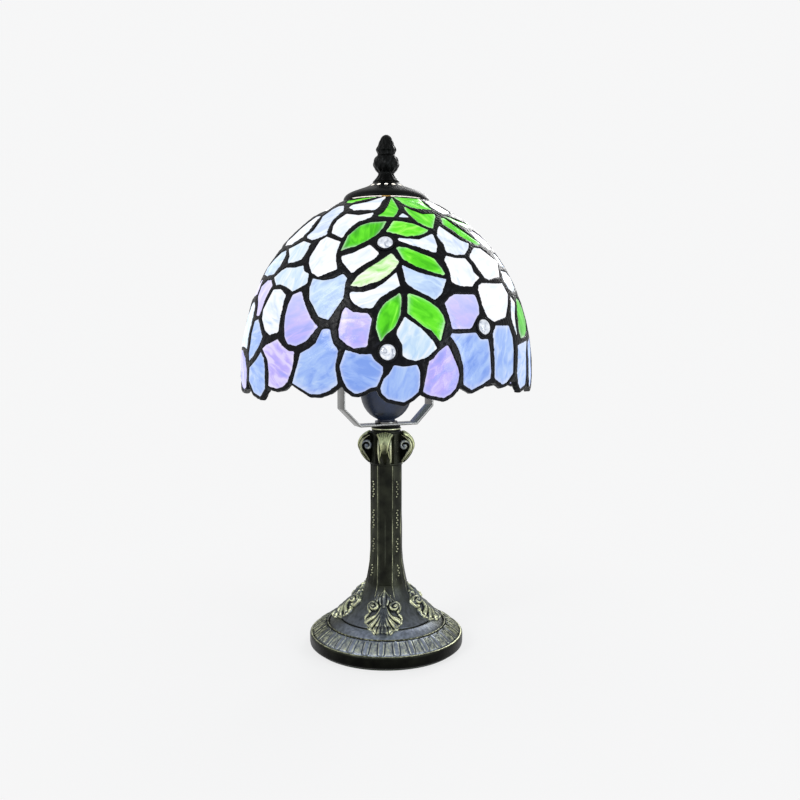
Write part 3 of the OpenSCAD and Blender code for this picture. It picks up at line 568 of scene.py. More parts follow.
def palmette_relief(X, Y):
    """A shell of leaf lobes under two scrolls. X runs across and Y down the foot's face, in millimetres."""
    edge = np.interp(Y, [2, 6, 10, 14, 20, 25, 29, 34, 38, 41], [0.2, 2.2, 6.5, 10.5, 10.2, 11.6, 11.9, 8.0, 3.6, 0.2])
    body = 2.7 * np.sqrt(np.clip(1 - (X / edge) ** 2, 0, 1))
    body *= np.interp(Y, [2, 8, 16, 30, 38, 41], [0.3, 0.75, 1.0, 0.95, 0.6, 0.3])
    lines = np.zeros_like(X)
    for k in range(-4, 5):
        a = k * 0.25
        tip = [[0, 41.0], [2.7, 38.8], [5.7, 35.6], [9.2, 31.6], [12.2, 27.0]][abs(k)]
        tip = np.array([math.copysign(tip[0], k) if k else 0, tip[1]])
        start = np.array([0.35 * k, 16.5 - 0.2 * abs(k)])
        bend = (start + tip) / 2 + np.array([-0.35 * k * 1.6, 0.4 * abs(k)])
        lines = np.maximum(lines, ridge(X, Y, curve([start, bend, tip], 7), [0.55, 1.2, 1.75], [0.9, 1.9, 2.2, 1.6]))
    for s in (-1, 1):
        scroll = spiral((s * 6.9, 15.8), 4.6, 0.7, 90 - s * 35, -s * 1.55, 44)
        lines = np.maximum(lines, ridge(X, Y, scroll, [1.2, 1.25, 0.9], [2.0, 2.6, 2.6]))
        lines = np.maximum(lines, ridge(X, Y, spiral((s * 6.9, 15.8), 0.6, 0.1, 0, 1, 6), [1.2], [3.2]))
        lines = np.maximum(lines, ridge(X, Y, curve([[s * 1.2, 4.5], [s * 2.6, 9], [s * 2.0, 14]], 6),
                                        [0.5, 1.3, 0.8], [0.8, 1.9, 1.2]))
        lines = np.maximum(lines, ridge(X, Y, curve([[s * 4.4, 5.2], [s * 3.6, 9], [s * 4.6, 12]], 6),
                                        [0.4, 1.0, 0.7], [0.6, 1.6, 1.2]))
        lines = np.maximum(lines, ridge(X, Y, curve([[s * 10.4, 21.5], [s * 12.6, 24.0], [s * 13.4, 26.8]], 6),
                                        [0.8, 1.2, 0.7], [2.0, 2.4, 1.4]))
    lines = np.maximum(lines, ridge(X, Y, [[0, 3], [0, 8], [0, 16]], [0.5, 1.5, 1.2], [1.0, 2.4, 1.8]))
    inside = (np.abs(X) < edge + 1.4) & (lines + body > 0.05)
    h = np.where(inside, body + lines, -1.2)
    # rubbed where the surface stands proud of what is round it, above all on the scrolls and the crest
    around = h.copy()
    for _ in range(5):
        around[1:-1, 1:-1] = (around[:-2, 1:-1] + around[2:, 1:-1] + around[1:-1, :-2] + around[1:-1, 2:]) / 4
    proud = np.interp(Y, [2, 16, 22, 40], [1.3, 1.6, 3.0, 2.6]) * (h - around)
    # painted shade: the sunk ground round the palmette gets nothing and stays dark
    wear = np.where(inside, 0.27 + 1.05 * proud, 0.0)
    return h, np.clip(wear, 0, 0.88)


def coolness(v, most):
    """How much painted sheen the patina gets, a cool reflection of the front light: most towards the front, fading to
    olive where it turns to the sides, and in soft patches.
    """
    front = np.clip(-v[:, 1] / np.hypot(v[:, 0], v[:, 1]), 0, 1)
    patch = 0.5 + 0.5 * np.sin(4.3 * np.arctan2(v[:, 0], -v[:, 1]) + 0.8)
    return most * np.clip(0.25 + 0.85 * front ** 2 - 0.25 * patch * (1 - front ** 4), 0.1, 1)


def build_foot(material):
    parts = Parts()
    band = [[52.3, 1.5], [53.6, 1.7], [54.4, 2.5], [54.6, 3.6], [54.6, 8.4], [54.45, 9.2], [54.0, 9.8],
            [53.4, 10.05], [52.8, 10.0], [52.2, 9.8]]
    band_wear = [0.0, 0.0, 0.0, 0.0, 0.02, 0.1, 0.45, 0.85, 0.4, 0.1]
    dense, worn_and_shaded = [], []
    for (a, b), (c, d) in zip(zip(band[:-1], band[1:]), zip(band_wear[:-1], band_wear[1:])):
        for t in np.linspace(0, 1, 4, endpoint=False):
            dense.append([a[0] + (b[0] - a[0]) * t, a[1] + (b[1] - a[1]) * t])
            worn_and_shaded.append(c + (d - c) * t)
    v, f, w = lathe(dense + [[40.4, 9.0]], 360, None, worn_and_shaded + [0.0], False)
    parts.add(v, f, w)
    slope = curve([[52.6, 9.9], [51.6, 11.2], [49.4, 13.0], [46.6, 14.9], [43.8, 16.3], [42.1, 16.9]], 6)[:28]
    slope = resample(slope, 0.42)
    slope = slope[np.linspace(0, len(slope) - 1, 28).astype(int)]
    v, f, w = lathe(slope, 1500, tongue_relief, closed_ends=False)
    parts.add(v, f, w, coolness(v, 1.0))
    # painted shade: the undercut under the lip and the groove at the cone's foot are kept dark
    lip = [[42.3, 16.2], [42.25, 17.0], [41.9, 17.35], [41.4, 17.2], [41.1, 16.4], [40.9, 15.4]]
    v, f, w = lathe(lip, 360, None, [0.2, 0.55, 0.6, 0.3, 0.0, 0.0], False)
    parts.add(v, f, w)
    cone, ring = foot_meridian()
    under = [[40.9, 15.2], [40.9, 16.2]]
    v, f, w = lathe(np.vstack([under, ring[::-1]]), 360, None, np.r_[0, 0.05, np.linspace(0.46, 0.3, len(ring))], False)
    parts.add(v, f, w, coolness(v, 0.9))
    groove = [[33.0, 20.2], [32.75, 19.6], [32.45, 19.9], [32.3, 20.9]]
    v, f, w = lathe(groove, 360, None, [0.2, 0, 0, 0.3], False)
    parts.add(v, f, w)
    # painted sheen on the cone, fading from its foot up to the column; the cone is also a little darker towards its top
    v, f, w = lathe(np.vstack([[[32.3, 20.9]], cone[::-1]]), 360, cone_relief, closed_ends=False)
    parts.add(v, f, w, np.repeat(np.linspace(0.4, 0.0, 41), 360))
    # the palmettes follow the face down over the cone, the groove and the smooth ring
    path = resample(np.vstack([cone, [[33.0, 20.4]], ring]), 0.3)
    arc = np.r_[0, np.cumsum(np.linalg.norm(np.diff(path, axis=0), axis=1))]
    rows = np.arange(1.0, 42.0, 0.3)
    across = np.arange(-15.0, 15.01, 0.3)
    X, Y = np.meshgrid(across, rows)
    h, wear = palmette_relief(X, Y)
    r, z = np.interp(Y, arc, path[:, 0]), np.interp(Y, arc, path[:, 1])
    tr, tz = np.gradient(r, axis=0), np.gradient(z, axis=0)
    size = np.hypot(tr, tz)
    nr, nz = -tz / size, tr / size
    for _ in range(12):
        nr[1:-1] = (nr[:-2] + nr[1:-1] + nr[2:]) / 3
        nz[1:-1] = (nz[:-2] + nz[1:-1] + nz[2:]) / 3
    a = X / np.maximum(r, 12)
    rr, zz = r + h * nr, z + h * nz
    v = np.stack([rr * np.sin(a), -rr * np.cos(a), zz], -1).reshape(-1, 3)
    for side in range(4):
        parts.add(turned(v, 90 * side), grid_faces(len(rows), len(across)), wear.reshape(-1), 0.3)
    # the underside and the inner wall, seen only from below
    inner = [[52.3, 1.5], [49.6, 1.5], [49.6, 8], [40.6, 12.5], [30.6, 16.5], [18.8, 30], [13.5, 37.5], [5.3, 37.5]]
    v, f, w = lathe(resample(inner, 4), 96, None, 0.05, False)
    parts.add(v, [q[::-1] for q in f.tolist()] if not isinstance(f, list) else [q[::-1] for q in f], w)
    top = [[14.8, 46.0], [13, 46.0], [5.3, 45.9]]
    v, f, w = lathe(top, 96, None, 0.1, False)
    parts.add(v, f, w)
    return parts.make("foot", material, "stand", "base_casting", "bronze", TURN)


def cone_relief(columns, rows):
    """The lines that run down from the column's edges and spread over the cone."""
    t = 1 - np.clip(rows / 41.0, 0, 1)
    quarter = math.pi / 2
    a = np.abs((columns + quarter / 2) % quarter - quarter / 2)
    line = np.radians(20.5 + 9 * t)
    bump = np.exp(-((a - line) / 0.03) ** 2) * np.clip((0.5 - t) / 0.2, 0, 1)
    return 0.4 * bump, 0.29 - 0.07 * (1 - t) + 0.4 * bump


# ---------------------------------------------------------------- the column

def build_column(material):
    parts = Parts()
    top = 130.0
    z = np.arange(46.0, top + 0.01, 0.6)
    u = np.clip((z - 46) / 26, 0, 1)
    radius = 11.6 + 3.2 * (1 - u) ** 1.7
    angle = np.linspace(0, 2 * math.pi, 576, endpoint=False)
    A, R = np.meshgrid(angle, radius)
    Z = np.meshgrid(angle, z)[1]
    quarter = math.pi / 2
    a = (A + quarter / 2) % quarter - quarter / 2
    x = np.abs(a) * R
    edge = 5.3
    panel = np.clip((edge - 0.7 - x) / 0.5, 0, 1)
    rib = np.exp(-((x - edge) / 0.34) ** 2)
    b = quarter / 2 - np.abs(a)
    second = np.exp(-((b * R - 2.6) / 0.25) ** 2)
    field = R - 0.55 * panel + 0.38 * rib + 0.2 * second
    vein = np.exp(-(x / 0.35) ** 2) * np.clip((Z - 58) / 6, 0, 1) * np.clip((96 - Z) / 10, 0, 1)
    field += 0.3 * vein
    wear = 0.20 + 0.44 * rib + 0.26 * second - 0.07 * panel + 0.24 * vein
    v = np.stack([field * np.sin(A), -field * np.cos(A), Z], -1).reshape(-1, 3)
    parts.add(v, grid_faces(len(z), len(angle), True), wear.reshape(-1))
    v, f, w = lathe([[5.3, top], [9, top], [11.6, top]], 72, None, 0.2, False)
    parts.add(v, [q[::-1] for q in f], w)
    v, f, w = lathe([[5.3, 46.1], [14.8, 46.1]], 72, None, 0.2, False)
    parts.add(v, f, w)
    # strings of beads down the four rounded corners
    for side in range(4):
        for low, high in ((52, 60.5), (69, 78.5), (86, 99), (108, 119)):
            for i, h in enumerate(np.arange(low, high, 1.75)):
                r = float(np.interp(h, z, radius)) + 0.05
                off = 0.45 * (1 if i % 2 else -1) / r
                t = math.radians(45 + 90 * side) + off
                bv, bf = ball((r * math.sin(t), -r * math.cos(t), h), (0.55, 0.55, 0.6), 8)
                parts.add(bv, bf, 0.75)
    return parts.make("column", material, "stand", "column_shaft", "bronze", TURN)


def console_outline(inset=0.0, n=6):
    """A console seen from the side, as [r, z] from its top round to its tail."""
    pts = np.array([[10.2, 152.2], [11.6, 151.9], [14.2, 150.6], [16.8, 148.2], [18.35, 145.2], [18.5, 142.4],
                    [17.1, 139.2], [14.8, 135.9], [12.8, 133.0], [11.9, 131.5], [10.6, 130.3]])
    c = curve(pts, n)
    t = np.gradient(c, axis=0)
    t /= np.linalg.norm(t, axis=1, keepdims=True)
    return c - inset * np.stack([-t[:, 1], t[:, 0]], 1)


def build_capital(material, gold):
    parts, leaves = Parts(), Parts()
    core = [[5.3, 130.1], [11.5, 130.05], [11.55, 131], [11.2, 134], [10.7, 140], [10.5, 148], [10.9, 151],
            [11.1, 152.5], [10.6, 152.7], [5.3, 152.7]]
    v, f, w = lathe(resample(core, 1.2), 96, None, 0.20, False)
    parts.add(v, f, w)
    half = 4.1
    for side in range(4):
        steps = [(-half, 0.9), (-half + 0.12, 0.5), (-half + 0.45, 0.15), (-half + 1.0, 0.0), (0, -0.1),
                 (half - 1.0, 0.0), (half - 0.45, 0.15), (half - 0.12, 0.5), (half, 0.9)]
        rows = []
        for y, inset in steps:
            o = console_outline(inset)
            rows.append(np.stack([np.full(len(o), y), -o[:, 0], o[:, 1]], 1))
        v = np.concatenate(rows)
        n = len(rows[0])
        faces = grid_faces(len(rows), n).tolist()
        faces += [list(range(n)), [(len(rows) - 1) * n + k for k in range(n)][::-1]]
        worn_and_shaded = np.tile(np.array([0.3, 0.5, 0.62, 0.3, 0.2, 0.3, 0.62, 0.5, 0.3])[:, None], (1, n)).reshape(-1)
        parts.add(turned(v, 90 * side), faces, worn_and_shaded)
        for s in (-1, 1):
            # the scroll on each cheek: a rolled rim, and a volute that winds in to its eye
            rim = console_outline(1.0)[6:-8]
            path = np.stack([np.full(len(rim), s * (half - 0.05)), -rim[:, 0], rim[:, 1]], 1)
            v, f = sweep(path, [0.35, 0.8, 0.95, 0.8, 0.35], 8)
            parts.add(turned(v, 90 * side), f, 0.85)
            # painted sheen: the volute and its eye take a strong cool sheen
            coil = spiral((13.1, 143.5), 5.0, 0.8, -75, 1.35, 48)
            path = np.stack([np.full(len(coil), s * (half - 0.1)), -coil[:, 0], coil[:, 1]], 1)
            v, f = sweep(path, [0.35, 1.0, 0.95, 0.7], 10)
            parts.add(turned(v, 90 * side), f, 0.6, 0.8)
            v, f = ball((s * (half - 0.2), -13.1, 143.5), (1.0, 1.2, 1.2), 12)
            parts.add(turned(v, 90 * side), f, 0.5, 0.8)
        # a leaf that hangs down the console's outer face
        line = resample(console_outline(0.0, 10)[3:97], 0.25)
        arc = np.r_[0, np.cumsum(np.linalg.norm(np.diff(line, axis=0), axis=1))]
        rows_s = np.arange(0.2, arc[-1] - 0.2, 0.28)
        across = np.arange(-6.6, 6.61, 0.28)
        X, Y = np.meshgrid(across, rows_s)
        L = float(np.interp(-139.0, -line[:, 1], arc))
        q = Y / L
        edge = np.interp(q, [0, 0.08, 0.3, 0.6, 0.85, 1.0, 1.05], [4.6, 5.7, 4.4, 3.1, 2.2, 1.0, 0.01])
        body = 0.7 * np.sqrt(np.clip(1 - (X / edge) ** 2, 0, 1))
        lines = np.zeros_like(X)
        for k in range(-3, 4):
            tip = [k * 1.65, 0.9 + 0.28 * abs(k) ** 1.5]
            lines = np.maximum(lines, ridge(X, Y, curve([[k * 0.75, 0.96 * L], [k * 1.0, 0.45 * L], tip], 6),
                                            [0.45, 0.55, 0.95], [0.6, 0.9, 0.95]))
        for s in (-1, 1):
            lines = np.maximum(lines, ridge(X, Y, curve([[s * 4.2, 0.25 * L], [s * 3.0, 0.55 * L], [s * 2.2, 0.8 * L],
                                                         [s * 1.2, 0.99 * L]], 8), [0.7, 0.6, 0.5, 0.4], [0.9, 0.9, 0.7]))
        inside = (np.abs(X) < edge + 0.25) & (body + lines > 0.05)
        h = np.where(inside, 0.15 + body + lines, -0.7)
        # a pointed bud under the leaf, between the leaf's two thin tails, coloured dark as painted shade
        along = (Y - float(np.interp(-136.4, -line[:, 1], arc))) / 6.6
        bud = 1.9 * np.sqrt(np.clip(1 - (X / (2.6 * np.clip(1.15 - 0.35 * along, 0.4, 1.2))) ** 2 - along ** 2, 0, 1))
        dark = bud > h
        h = np.maximum(h, np.where(bud > 0, bud, h))
        t = np.gradient(line, axis=0)
        t /= np.linalg.norm(t, axis=1, keepdims=True)
        nr, nz = np.interp(Y, arc, -t[:, 1]), np.interp(Y, arc, t[:, 0])
        r, z = np.interp(Y, arc, line[:, 0]) + h * nr, np.interp(Y, arc, line[:, 1]) + h * nz
        v = np.stack([X, -r, z], -1).reshape(-1, 3)
        # painted shade: the bud and the sunk ground round the leaf are kept dark
        worn_and_shaded = np.where(inside & ~dark, 0.18 + 0.78 * lines * np.clip(1.45 - q, 0.35, 1), 0.03)
        leaves.add(turned(v, 90 * side), grid_faces(len(rows_s), len(across)), worn_and_shaded.reshape(-1))
        for s in (-1, 1):
            tail = curve([[s * 2.6, -18.4, 141.4], [s * 2.9, -17.4, 138.6], [s * 3.6, -15.5, 135.8],
                          [s * 4.1, -13.6, 133.4]], 6)
            v, f = sweep(tail, [0.45, 0.4, 0.3, 0.15], 8)
            leaves.add(turned(v, 90 * side), f, 0.62)
        # the column's bead strings go on up between the consoles
        for offset in (-6.5, 6.5):
            for i, h in enumerate(np.arange(131.5, 148, 1.6)):
                t = math.radians(45 + offset + 90 * side)
                r = float(np.interp(h, [131, 134, 140, 148], [11.55, 11.2, 10.7, 10.5]))
                v, f = ball((r * math.sin(t), -r * math.cos(t), h), (0.4, 0.4, 0.5 + 0.15 * (i % 2)), 8)
                parts.add(v, f, 0.45)
    parts.make("capital_scrolls", material, "stand", "capital", "bronze", TURN)
    leaves.make("capital_leaf", gold, "stand", "capital_leaves", "gold", TURN)


def build_collar(material):
    profile = [[5.3, 152.8], [10.8, 152.8], [10.9, 153.1], [10.2, 153.7], [10.0, 154.4], [10.1, 154.8], [10.5, 155.0],
               [10.6, 155.3], [10.5, 155.7], [10.1, 155.9], [10.0, 156.3], [10.0, 157.0], [9.7, 157.3], [5.3, 157.3]]
    wear = [0.1, 0.3, 0.3, 0.1, 0.05, 0.3, 0.8, 1.0, 0.8, 0.1, 0.02, 0.02, 0.1, 0.1]
    v, f, w = lathe(profile, 120, None, wear, False)
    return make("collar", v, f, material, "stand", "top_collar", attributes={"wear": w})


# ---------------------------------------------------------------- the shade

BULB = np.array([0, 0, 240.0])
DOME = np.array([0, 0, 195.0])


def build_leading(material):
    bm = clean_copy("leading")
    bmesh.ops.recalc_face_normals(bm, faces=bm.faces)
    mesh = bpy.data.meshes.new("lead_lines")
    bm.to_mesh(mesh)
    bm.free()
    piece = bpy.data.objects.new("lead_lines", mesh)
    bpy.context.scene.collection.objects.link(piece)
    mod = piece.modifiers.new("solder", "REMESH")
    mod.mode, mod.voxel_size, mod.use_smooth_shade = "VOXEL", 0.62 * MM, True
    mod = piece.modifiers.new("round", "SMOOTH")
    mod.factor, mod.iterations = 0.5, 5
    applied(piece)
    # molten solder leaves slight swellings
    mesh = piece.data
    n = len(mesh.vertices)
    co, no = np.zeros(n * 3), np.zeros(n * 3, np.float32)
    mesh.vertices.foreach_get("co", co)
    mesh.vertex_normals.foreach_get("vector", no)
    co, no = co.reshape(-1, 3), no.reshape(-1, 3)
    lump = (np.sin(co[:, 0] * 1500 + 2 * np.sin(co[:, 2] * 700)) * np.sin(co[:, 2] * 1350 + 2 * np.sin(co[:, 1] * 800))
            + 0.6 * np.sin(co[:, 1] * 2100 + co[:, 0] * 900))
    co += no * (0.10 + 0.09 * lump)[:, None] * MM
    mesh.vertices.foreach_set("co", co.ravel())
    mesh.update()
    mesh.materials.clear()
    mesh.materials.append(material)
    mesh.polygons.foreach_set("use_smooth", [True] * len(mesh.polygons))
    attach(piece, "shade")
    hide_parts("leading")


def islands(bm):
    left, out = set(bm.faces), []
    while left:
        start = left.pop()
        group, stack = [start], [start]
        while stack:
            for e in stack.pop().edges:
                for g in e.link_faces:
                    if g in left:
                        left.remove(g)
                        group.append(g)
                        stack.append(g)
        out.append(group)
    out.sort(key=lambda g: tuple(round(c, 5) for c in sum((f.calc_center_median() for f in g), Vector()) / len(g)))
    return out


def outline_of(faces):
    """The corners of a flat pane's outer face in order, in millimetres, and the way it faces."""
    big = max(faces, key=lambda f: f.calc_area())
    n = big.normal.copy()
    if n.dot(big.calc_center_median() - Vector(DOME * MM)) < 0:
        n = -n
    side = {f for f in faces if f.normal.dot(n) > 0.999}
    follow = {}
    for f in side:
        for loop in f.loops:
            others = [g for g in loop.edge.link_faces if g in side and g is not f]
            if not others:
                follow[loop.vert] = loop.link_loop_next.vert
    start = next(iter(follow))
    ring, v = [start], follow[start]
    while v is not start and len(ring) <= len(follow):
        ring.append(v)
        v = follow[v]
    p = np.array([list(v.co) for v in ring]) / MM
    d = np.roll(p, -1, axis=0) - p
    e = np.roll(d, 1, axis=0)
    turn = np.linalg.norm(np.cross(d, e), axis=1) / (np.linalg.norm(d, axis=1) * np.linalg.norm(e, axis=1) + 1e-9)
    return p[turn > 0.01], np.array(n)


def build_panes(node, name, material):
    """Every pane of one colour: cut edges tucked under the lead, a slightly cushioned and wavy face."""
    bm = clean_copy(node)
    verts, faces, count = [], [], 0
    flow, tint, rim = [], [], []
    local = np.random.default_rng(sum(map(ord, name)))
    for group in islands(bm):
        loop, n = outline_of(group)
        centre = loop.mean(0)
        u = np.cross([0, 0, 1.0], n)
        u /= np.linalg.norm(u)
        v = np.cross(n, u)
        flat = np.stack([(loop - centre) @ u, (loop - centre) @ v], 1)
        area = 0.5 * np.sum(flat[:, 0] * np.roll(flat[:, 1], -1) - np.roll(flat[:, 0], -1) * flat[:, 1])
        if area < 0:
            flat = flat[::-1]
        # move every edge out by 0.6 mm, so that the lead covers the glass's edge
        d = np.roll(flat, -1, axis=0) - flat
        d /= np.linalg.norm(d, axis=1, keepdims=True)
        out = np.stack([d[:, 1], -d[:, 0]], 1)
        before = np.roll(out, 1, axis=0)
        flat = flat + 0.6 * (out + before) / np.maximum(1 + (out * before).sum(1, keepdims=True), 0.5)
        edge = resample(np.vstack([flat, flat[:1]]), 1.6)[:-1]
        heart = edge.mean(0)
        size = math.sqrt(abs(area))
        crown = 0.035 * size
        m = len(edge)
        theta = local.uniform(0, math.pi)
        seed = local.uniform(0, 100)
        shade_of = local.uniform(0, 1)
        rings = [(1.0, -1.9, 0), (1.0, -0.35, 0), (0.985, -0.05, 0), (0.93, 0.1, 0.25), (0.82, 0.1, 0.55),
                 (0.66, 0.1, 0.8), (0.46, 0.1, 0.93), (0.24, 0.1, 0.99)]
        base = count
        for scale, lift, dome in rings:
            p = heart + (edge - heart) * scale
            wave = 0.12 * np.sin(p[:, 0] * 0.45 + seed) * np.cos(p[:, 1] * 0.4 + 2 * seed) * min(1, dome * 2)
            h = lift + crown * dome + wave
            verts.append(centre + p[:, :1] * u + p[:, 1:] * v + h[:, None] * n)
            a = p[:, 0] * math.cos(theta) + p[:, 1] * math.sin(theta)
            b = -p[:, 0] * math.sin(theta) + p[:, 1] * math.cos(theta)
            flow.append(np.stack([a / 30 + seed, b / 12, np.full(m, seed * 1.7)], 1))
            tint.append(np.full(m, shade_of))
            # rim marks the band round each pane's edge, where the painted glow is paler
            rim.append(np.full(m, np.clip((scale - 0.8) / 0.13, 0, 1)))
            count += m
        for ring in range(len(rings) - 1):
            for k in range(m):
                a, b = base + ring * m + k, base + ring * m + (k + 1) % m
                faces.append([a, b, b + m, a + m])
        faces.append([base + (len(rings) - 1) * m + k for k in range(m)])
        faces.append([base + k for k in range(m)][::-1])
    bm.free()
    verts = np.concatenate(verts)
    # painted light: each corner's glow falls off with its distance from the bulb, and is dimmed near the crown as a
    # painted shadow under the crown and harp
    away = verts - BULB
    d = np.linalg.norm(away, axis=1)
    falloff = (95 / d) ** 2 * np.clip((verts[:, :2] ** 2).sum(1) ** 0.5 / 100 * 0.35 + 0.65, 0, 1)
    lit = np.clip((falloff - 0.62) / 0.42, 0, 1) * np.interp(verts[:, 2], [286, 308], [1.0, 0.7])
    make(name, verts, faces, material, "shade", node, True,
         {"lit": lit, "flow": np.concatenate(flow), "tint": np.concatenate(tint), "rim": np.concatenate(rim)})


def jewel_frames():
    bm = clean_copy("jewels")
    out = []
    for group in islands(bm):
        p = np.array([list(v.co) for v in {v for f in group for v in f.verts}]) / MM
        flat = max(group, key=lambda f: f.calc_area())
        n = np.array(flat.normal)
        centre = (p.max(0) + p.min(0)) / 2
        if n @ (centre - DOME) < 0:
            n = -n
        u = np.cross([0, 0, 1.0], n)
        u /= np.linalg.norm(u)
        v = np.cross(n, u)
        w = p @ n
        middle = (u * ((p @ u).max() + (p @ u).min()) + v * ((p @ v).max() + (p @ v).min())) / 2
        out.append((middle + n * w.min(), u, v, n, ((p @ u).max() - (p @ u).min()) / 2))
    bm.free()
    return out


def build_jewels(material, metal):
    glass, bezel = Parts(), Parts()
    for foot, u, v, n, r in jewel_frames():
        basis = np.stack([u, v, n])
        outline = [[0.02, 0], [r + 0.25, 0], [r + 0.25, 2.7], [r * 0.97, 3.3], [r * 0.86, 4.1], [r * 0.66, 4.7],
                   [r * 0.4, 5.05], [0.02, 5.15]]
        p = np.vstack([outline[:3], curve(outline[2:], 5)])
        a, f, w = lathe(p, 48, None, 0.3)
        glass.add(a @ basis + foot, f, w)
        t = np.linspace(0, 2 * math.pi, 61)
        path = np.stack([(r + 0.45) * np.cos(t), (r + 0.45) * np.sin(t), np.full(61, 3.35) + 0.12 * np.sin(5 * t)], 1)
        a, f = sweep(path, [0.85], 10)
        bezel.add(a @ basis + foot, f, 0.3)
    glass.make("glass_jewels", material, "shade", "jewels", "jewel_glass")
    bezel.make("jewel_rims", metal, "shade", (), "lead")


# ---------------------------------------------------------------- cap and finial

def build_cap(material, inside_material):
    """The spun vase cap: a cone with a ring of vents, rounded into a lip over the shade's crown."""
    z0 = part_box("vase_cap")[0].z / MM
    shape = curve([[29.2, 0.1], [29.4, 0.9], [29.15, 1.8], [28.3, 3.2], [26.9, 4.4], [24.5, 5.7], [19.2, 7.7],
                   [15.0, 9.2], [13.2, 10.1], [11.4, 11.1], [10.0, 11.9], [9.1, 12.7]], 4)
    shape = resample(shape, 0.22)
    arc = np.r_[0, np.cumsum(np.linalg.norm(np.diff(shape, axis=0), axis=1))]
    vents, vent_r, vent_ring = 16, 1.3, 13.0
    centre = float(np.interp(-vent_ring, -shape[:, 0], arc))
    n = vents * 24
    A, S = np.meshgrid(np.arange(n) * 2 * math.pi / n, arc)
    pitch = 2 * math.pi / vents
    dx = ((A + pitch / 2) % pitch - pitch / 2) * vent_ring
    dy = S - centre
    d = np.hypot(dx, dy)
    # corners near a vent's edge are moved onto it, and the faces inside it are left out
    near = np.abs(d - vent_r) < 0.13
    pull = np.where(near, vent_r / np.maximum(d, 1e-6), 1.0)
    A = A + (pull - 1) * dx / vent_ring
    S = S + (pull - 1) * dy
    tangent = np.gradient(shape, arc, axis=0)
    normal = np.stack([tangent[:, 1], -tangent[:, 0]], 1)
    faces = grid_faces(len(arc), n, True)
    open_ = np.where(near, vent_r, d).ravel()[faces].mean(1) < vent_r - 0.01

    def sheet(depth):
        r = np.interp(S, arc, shape[:, 0] - depth * normal[:, 0])
        z = np.interp(S, arc, shape[:, 1] - depth * normal[:, 1]) + z0
        return np.stack([r * np.sin(A), -r * np.cos(A), z], -1).reshape(-1, 3)

    shell = Parts()
    shell.add(sheet(0), faces[~open_], 0.25)
    rim = np.vstack([shape[:1], shape[:1] - 0.8 * normal[:1]])
    v, f, w = lathe(rim + [[0, z0], [0, z0]], n, None, 0.25, False)
    shell.add(v, f[::-1], 0.25)
    # the dark paint goes in under the lip; above it the inside is pale and glows, painted light from the bulb below
    inner = faces[~open_][:, ::-1]
    painted = S.ravel()[inner].mean(1) < 6.0
    shell.add(sheet(0.8), inner[painted], 0.1)
    shell.make("vase_cap_spun", material, "cap", "vase_cap", "dark_metal")
    lit_inside = Parts()
    lit_inside.add(sheet(0.8), inner[~painted], 0.25)
    t = np.linspace(0, 2 * math.pi, 24, endpoint=False)
    for k in range(vents):
        a = k * pitch + vent_r * np.cos(t) / vent_ring
        along = centre + vent_r * np.sin(t)
        rows = []
        for depth in (0, 0.8):
            r = np.interp(along, arc, shape[:, 0] - depth * normal[:, 0])
            z = np.interp(along, arc, shape[:, 1] - depth * normal[:, 1]) + z0
            rows.append(np.stack([r * np.sin(a), -r * np.cos(a), z], 1))
        lit_inside.add(np.concatenate(rows), grid_faces(2, 24, True), 0.25)
    lit_inside.make("vase_cap_inside_glow", inside_material, "cap", "vase_cap", "dark_metal")


def build_finial(material):
    low, high = (c / MM for c in (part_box("finial")[0].z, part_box("finial")[1].z))
    h = high - low + 0.8
    shape = curve([[8.95, 0], [8.7, 0.4], [7.0, 2.4], [5.6, 4.6], [5.5, 5.4], [6.3, 6.7], [8.1, 8.9], [8.95, 11.5],
                   [8.6, 14.4], [7.4, 16.7], [5.9, 18.2], [6.2, 19.8], [7.2, 21.5], [6.1, 23.8], [5.2, 25.9],
                   [4.2, 28.6], [2.7, 30.8], [1.3, 31.9], [0.2, 32.2]], 10)
    shape[:, 0] = np.clip(shape[:, 0], 0.15, 8.98)
    shape[:, 1] = np.clip(shape[:, 1], 0, 32.2) * h / 32.2 + low

    def relief(columns, rows):
        z = shape[rows, 1] - low
        scales = np.abs(np.sin(6 * columns + 0.42 * z)) * np.abs(np.sin(6 * columns - 0.42 * z))
        flutes = np.abs(np.sin(7 * columns))
        amount = np.where(z < 5.4, 0.35 * flutes, 0.42 * scales) * np.clip(shape[rows, 0] / 4, 0, 1)
        return amount - 0.3, 0.15 + 1.0 * amount

    v, f, w = lathe(shape, 168, relief)
    make("finial_cast", v, f, material, "finial", "finial", attributes={"wear": w})


def build_threaded(node, name, material, body, slot, depth, top_open, pitch=3.6):
    """A sheet-metal shell rolled with a screw's rounded thread."""
    low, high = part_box(node)
    r, z0, z1 = high.x / MM, low.z / MM, high.z / MM
    rows = np.linspace(z0, z1, 90)
    shape = np.stack([np.full(90, r - depth / 2), rows], 1)

    def relief(columns, i):
        z = rows[i]
        ease = np.clip(np.minimum(z - z0 - 1.2, z1 - z - 2.0) / 1.5, 0, 1)
        return ease * depth / 2 * np.sin(2 * math.pi * z / pitch - columns), 0.3

    v, f, w = lathe(shape, 72, relief, closed_ends=False)
    parts = Parts()
    parts.add(v, f, 0.3)
    inner = [[r - depth - 0.35, z1], [r - depth - 0.35, z0 + 0.6]]
    v, f, w = lathe([[r - depth / 2, z1]] + inner, 72, None, 0.3, False)
    parts.add(v, f, 0.3)
    if not top_open:
        v, f, w = lathe([[1.0, z0], [r * 0.6, z0], [r - depth / 2, z0 + 0.2]], 72, None, 0.3, False)
        parts.add(v, f, 0.3)
    parts.make(name, material, body, node, slot)


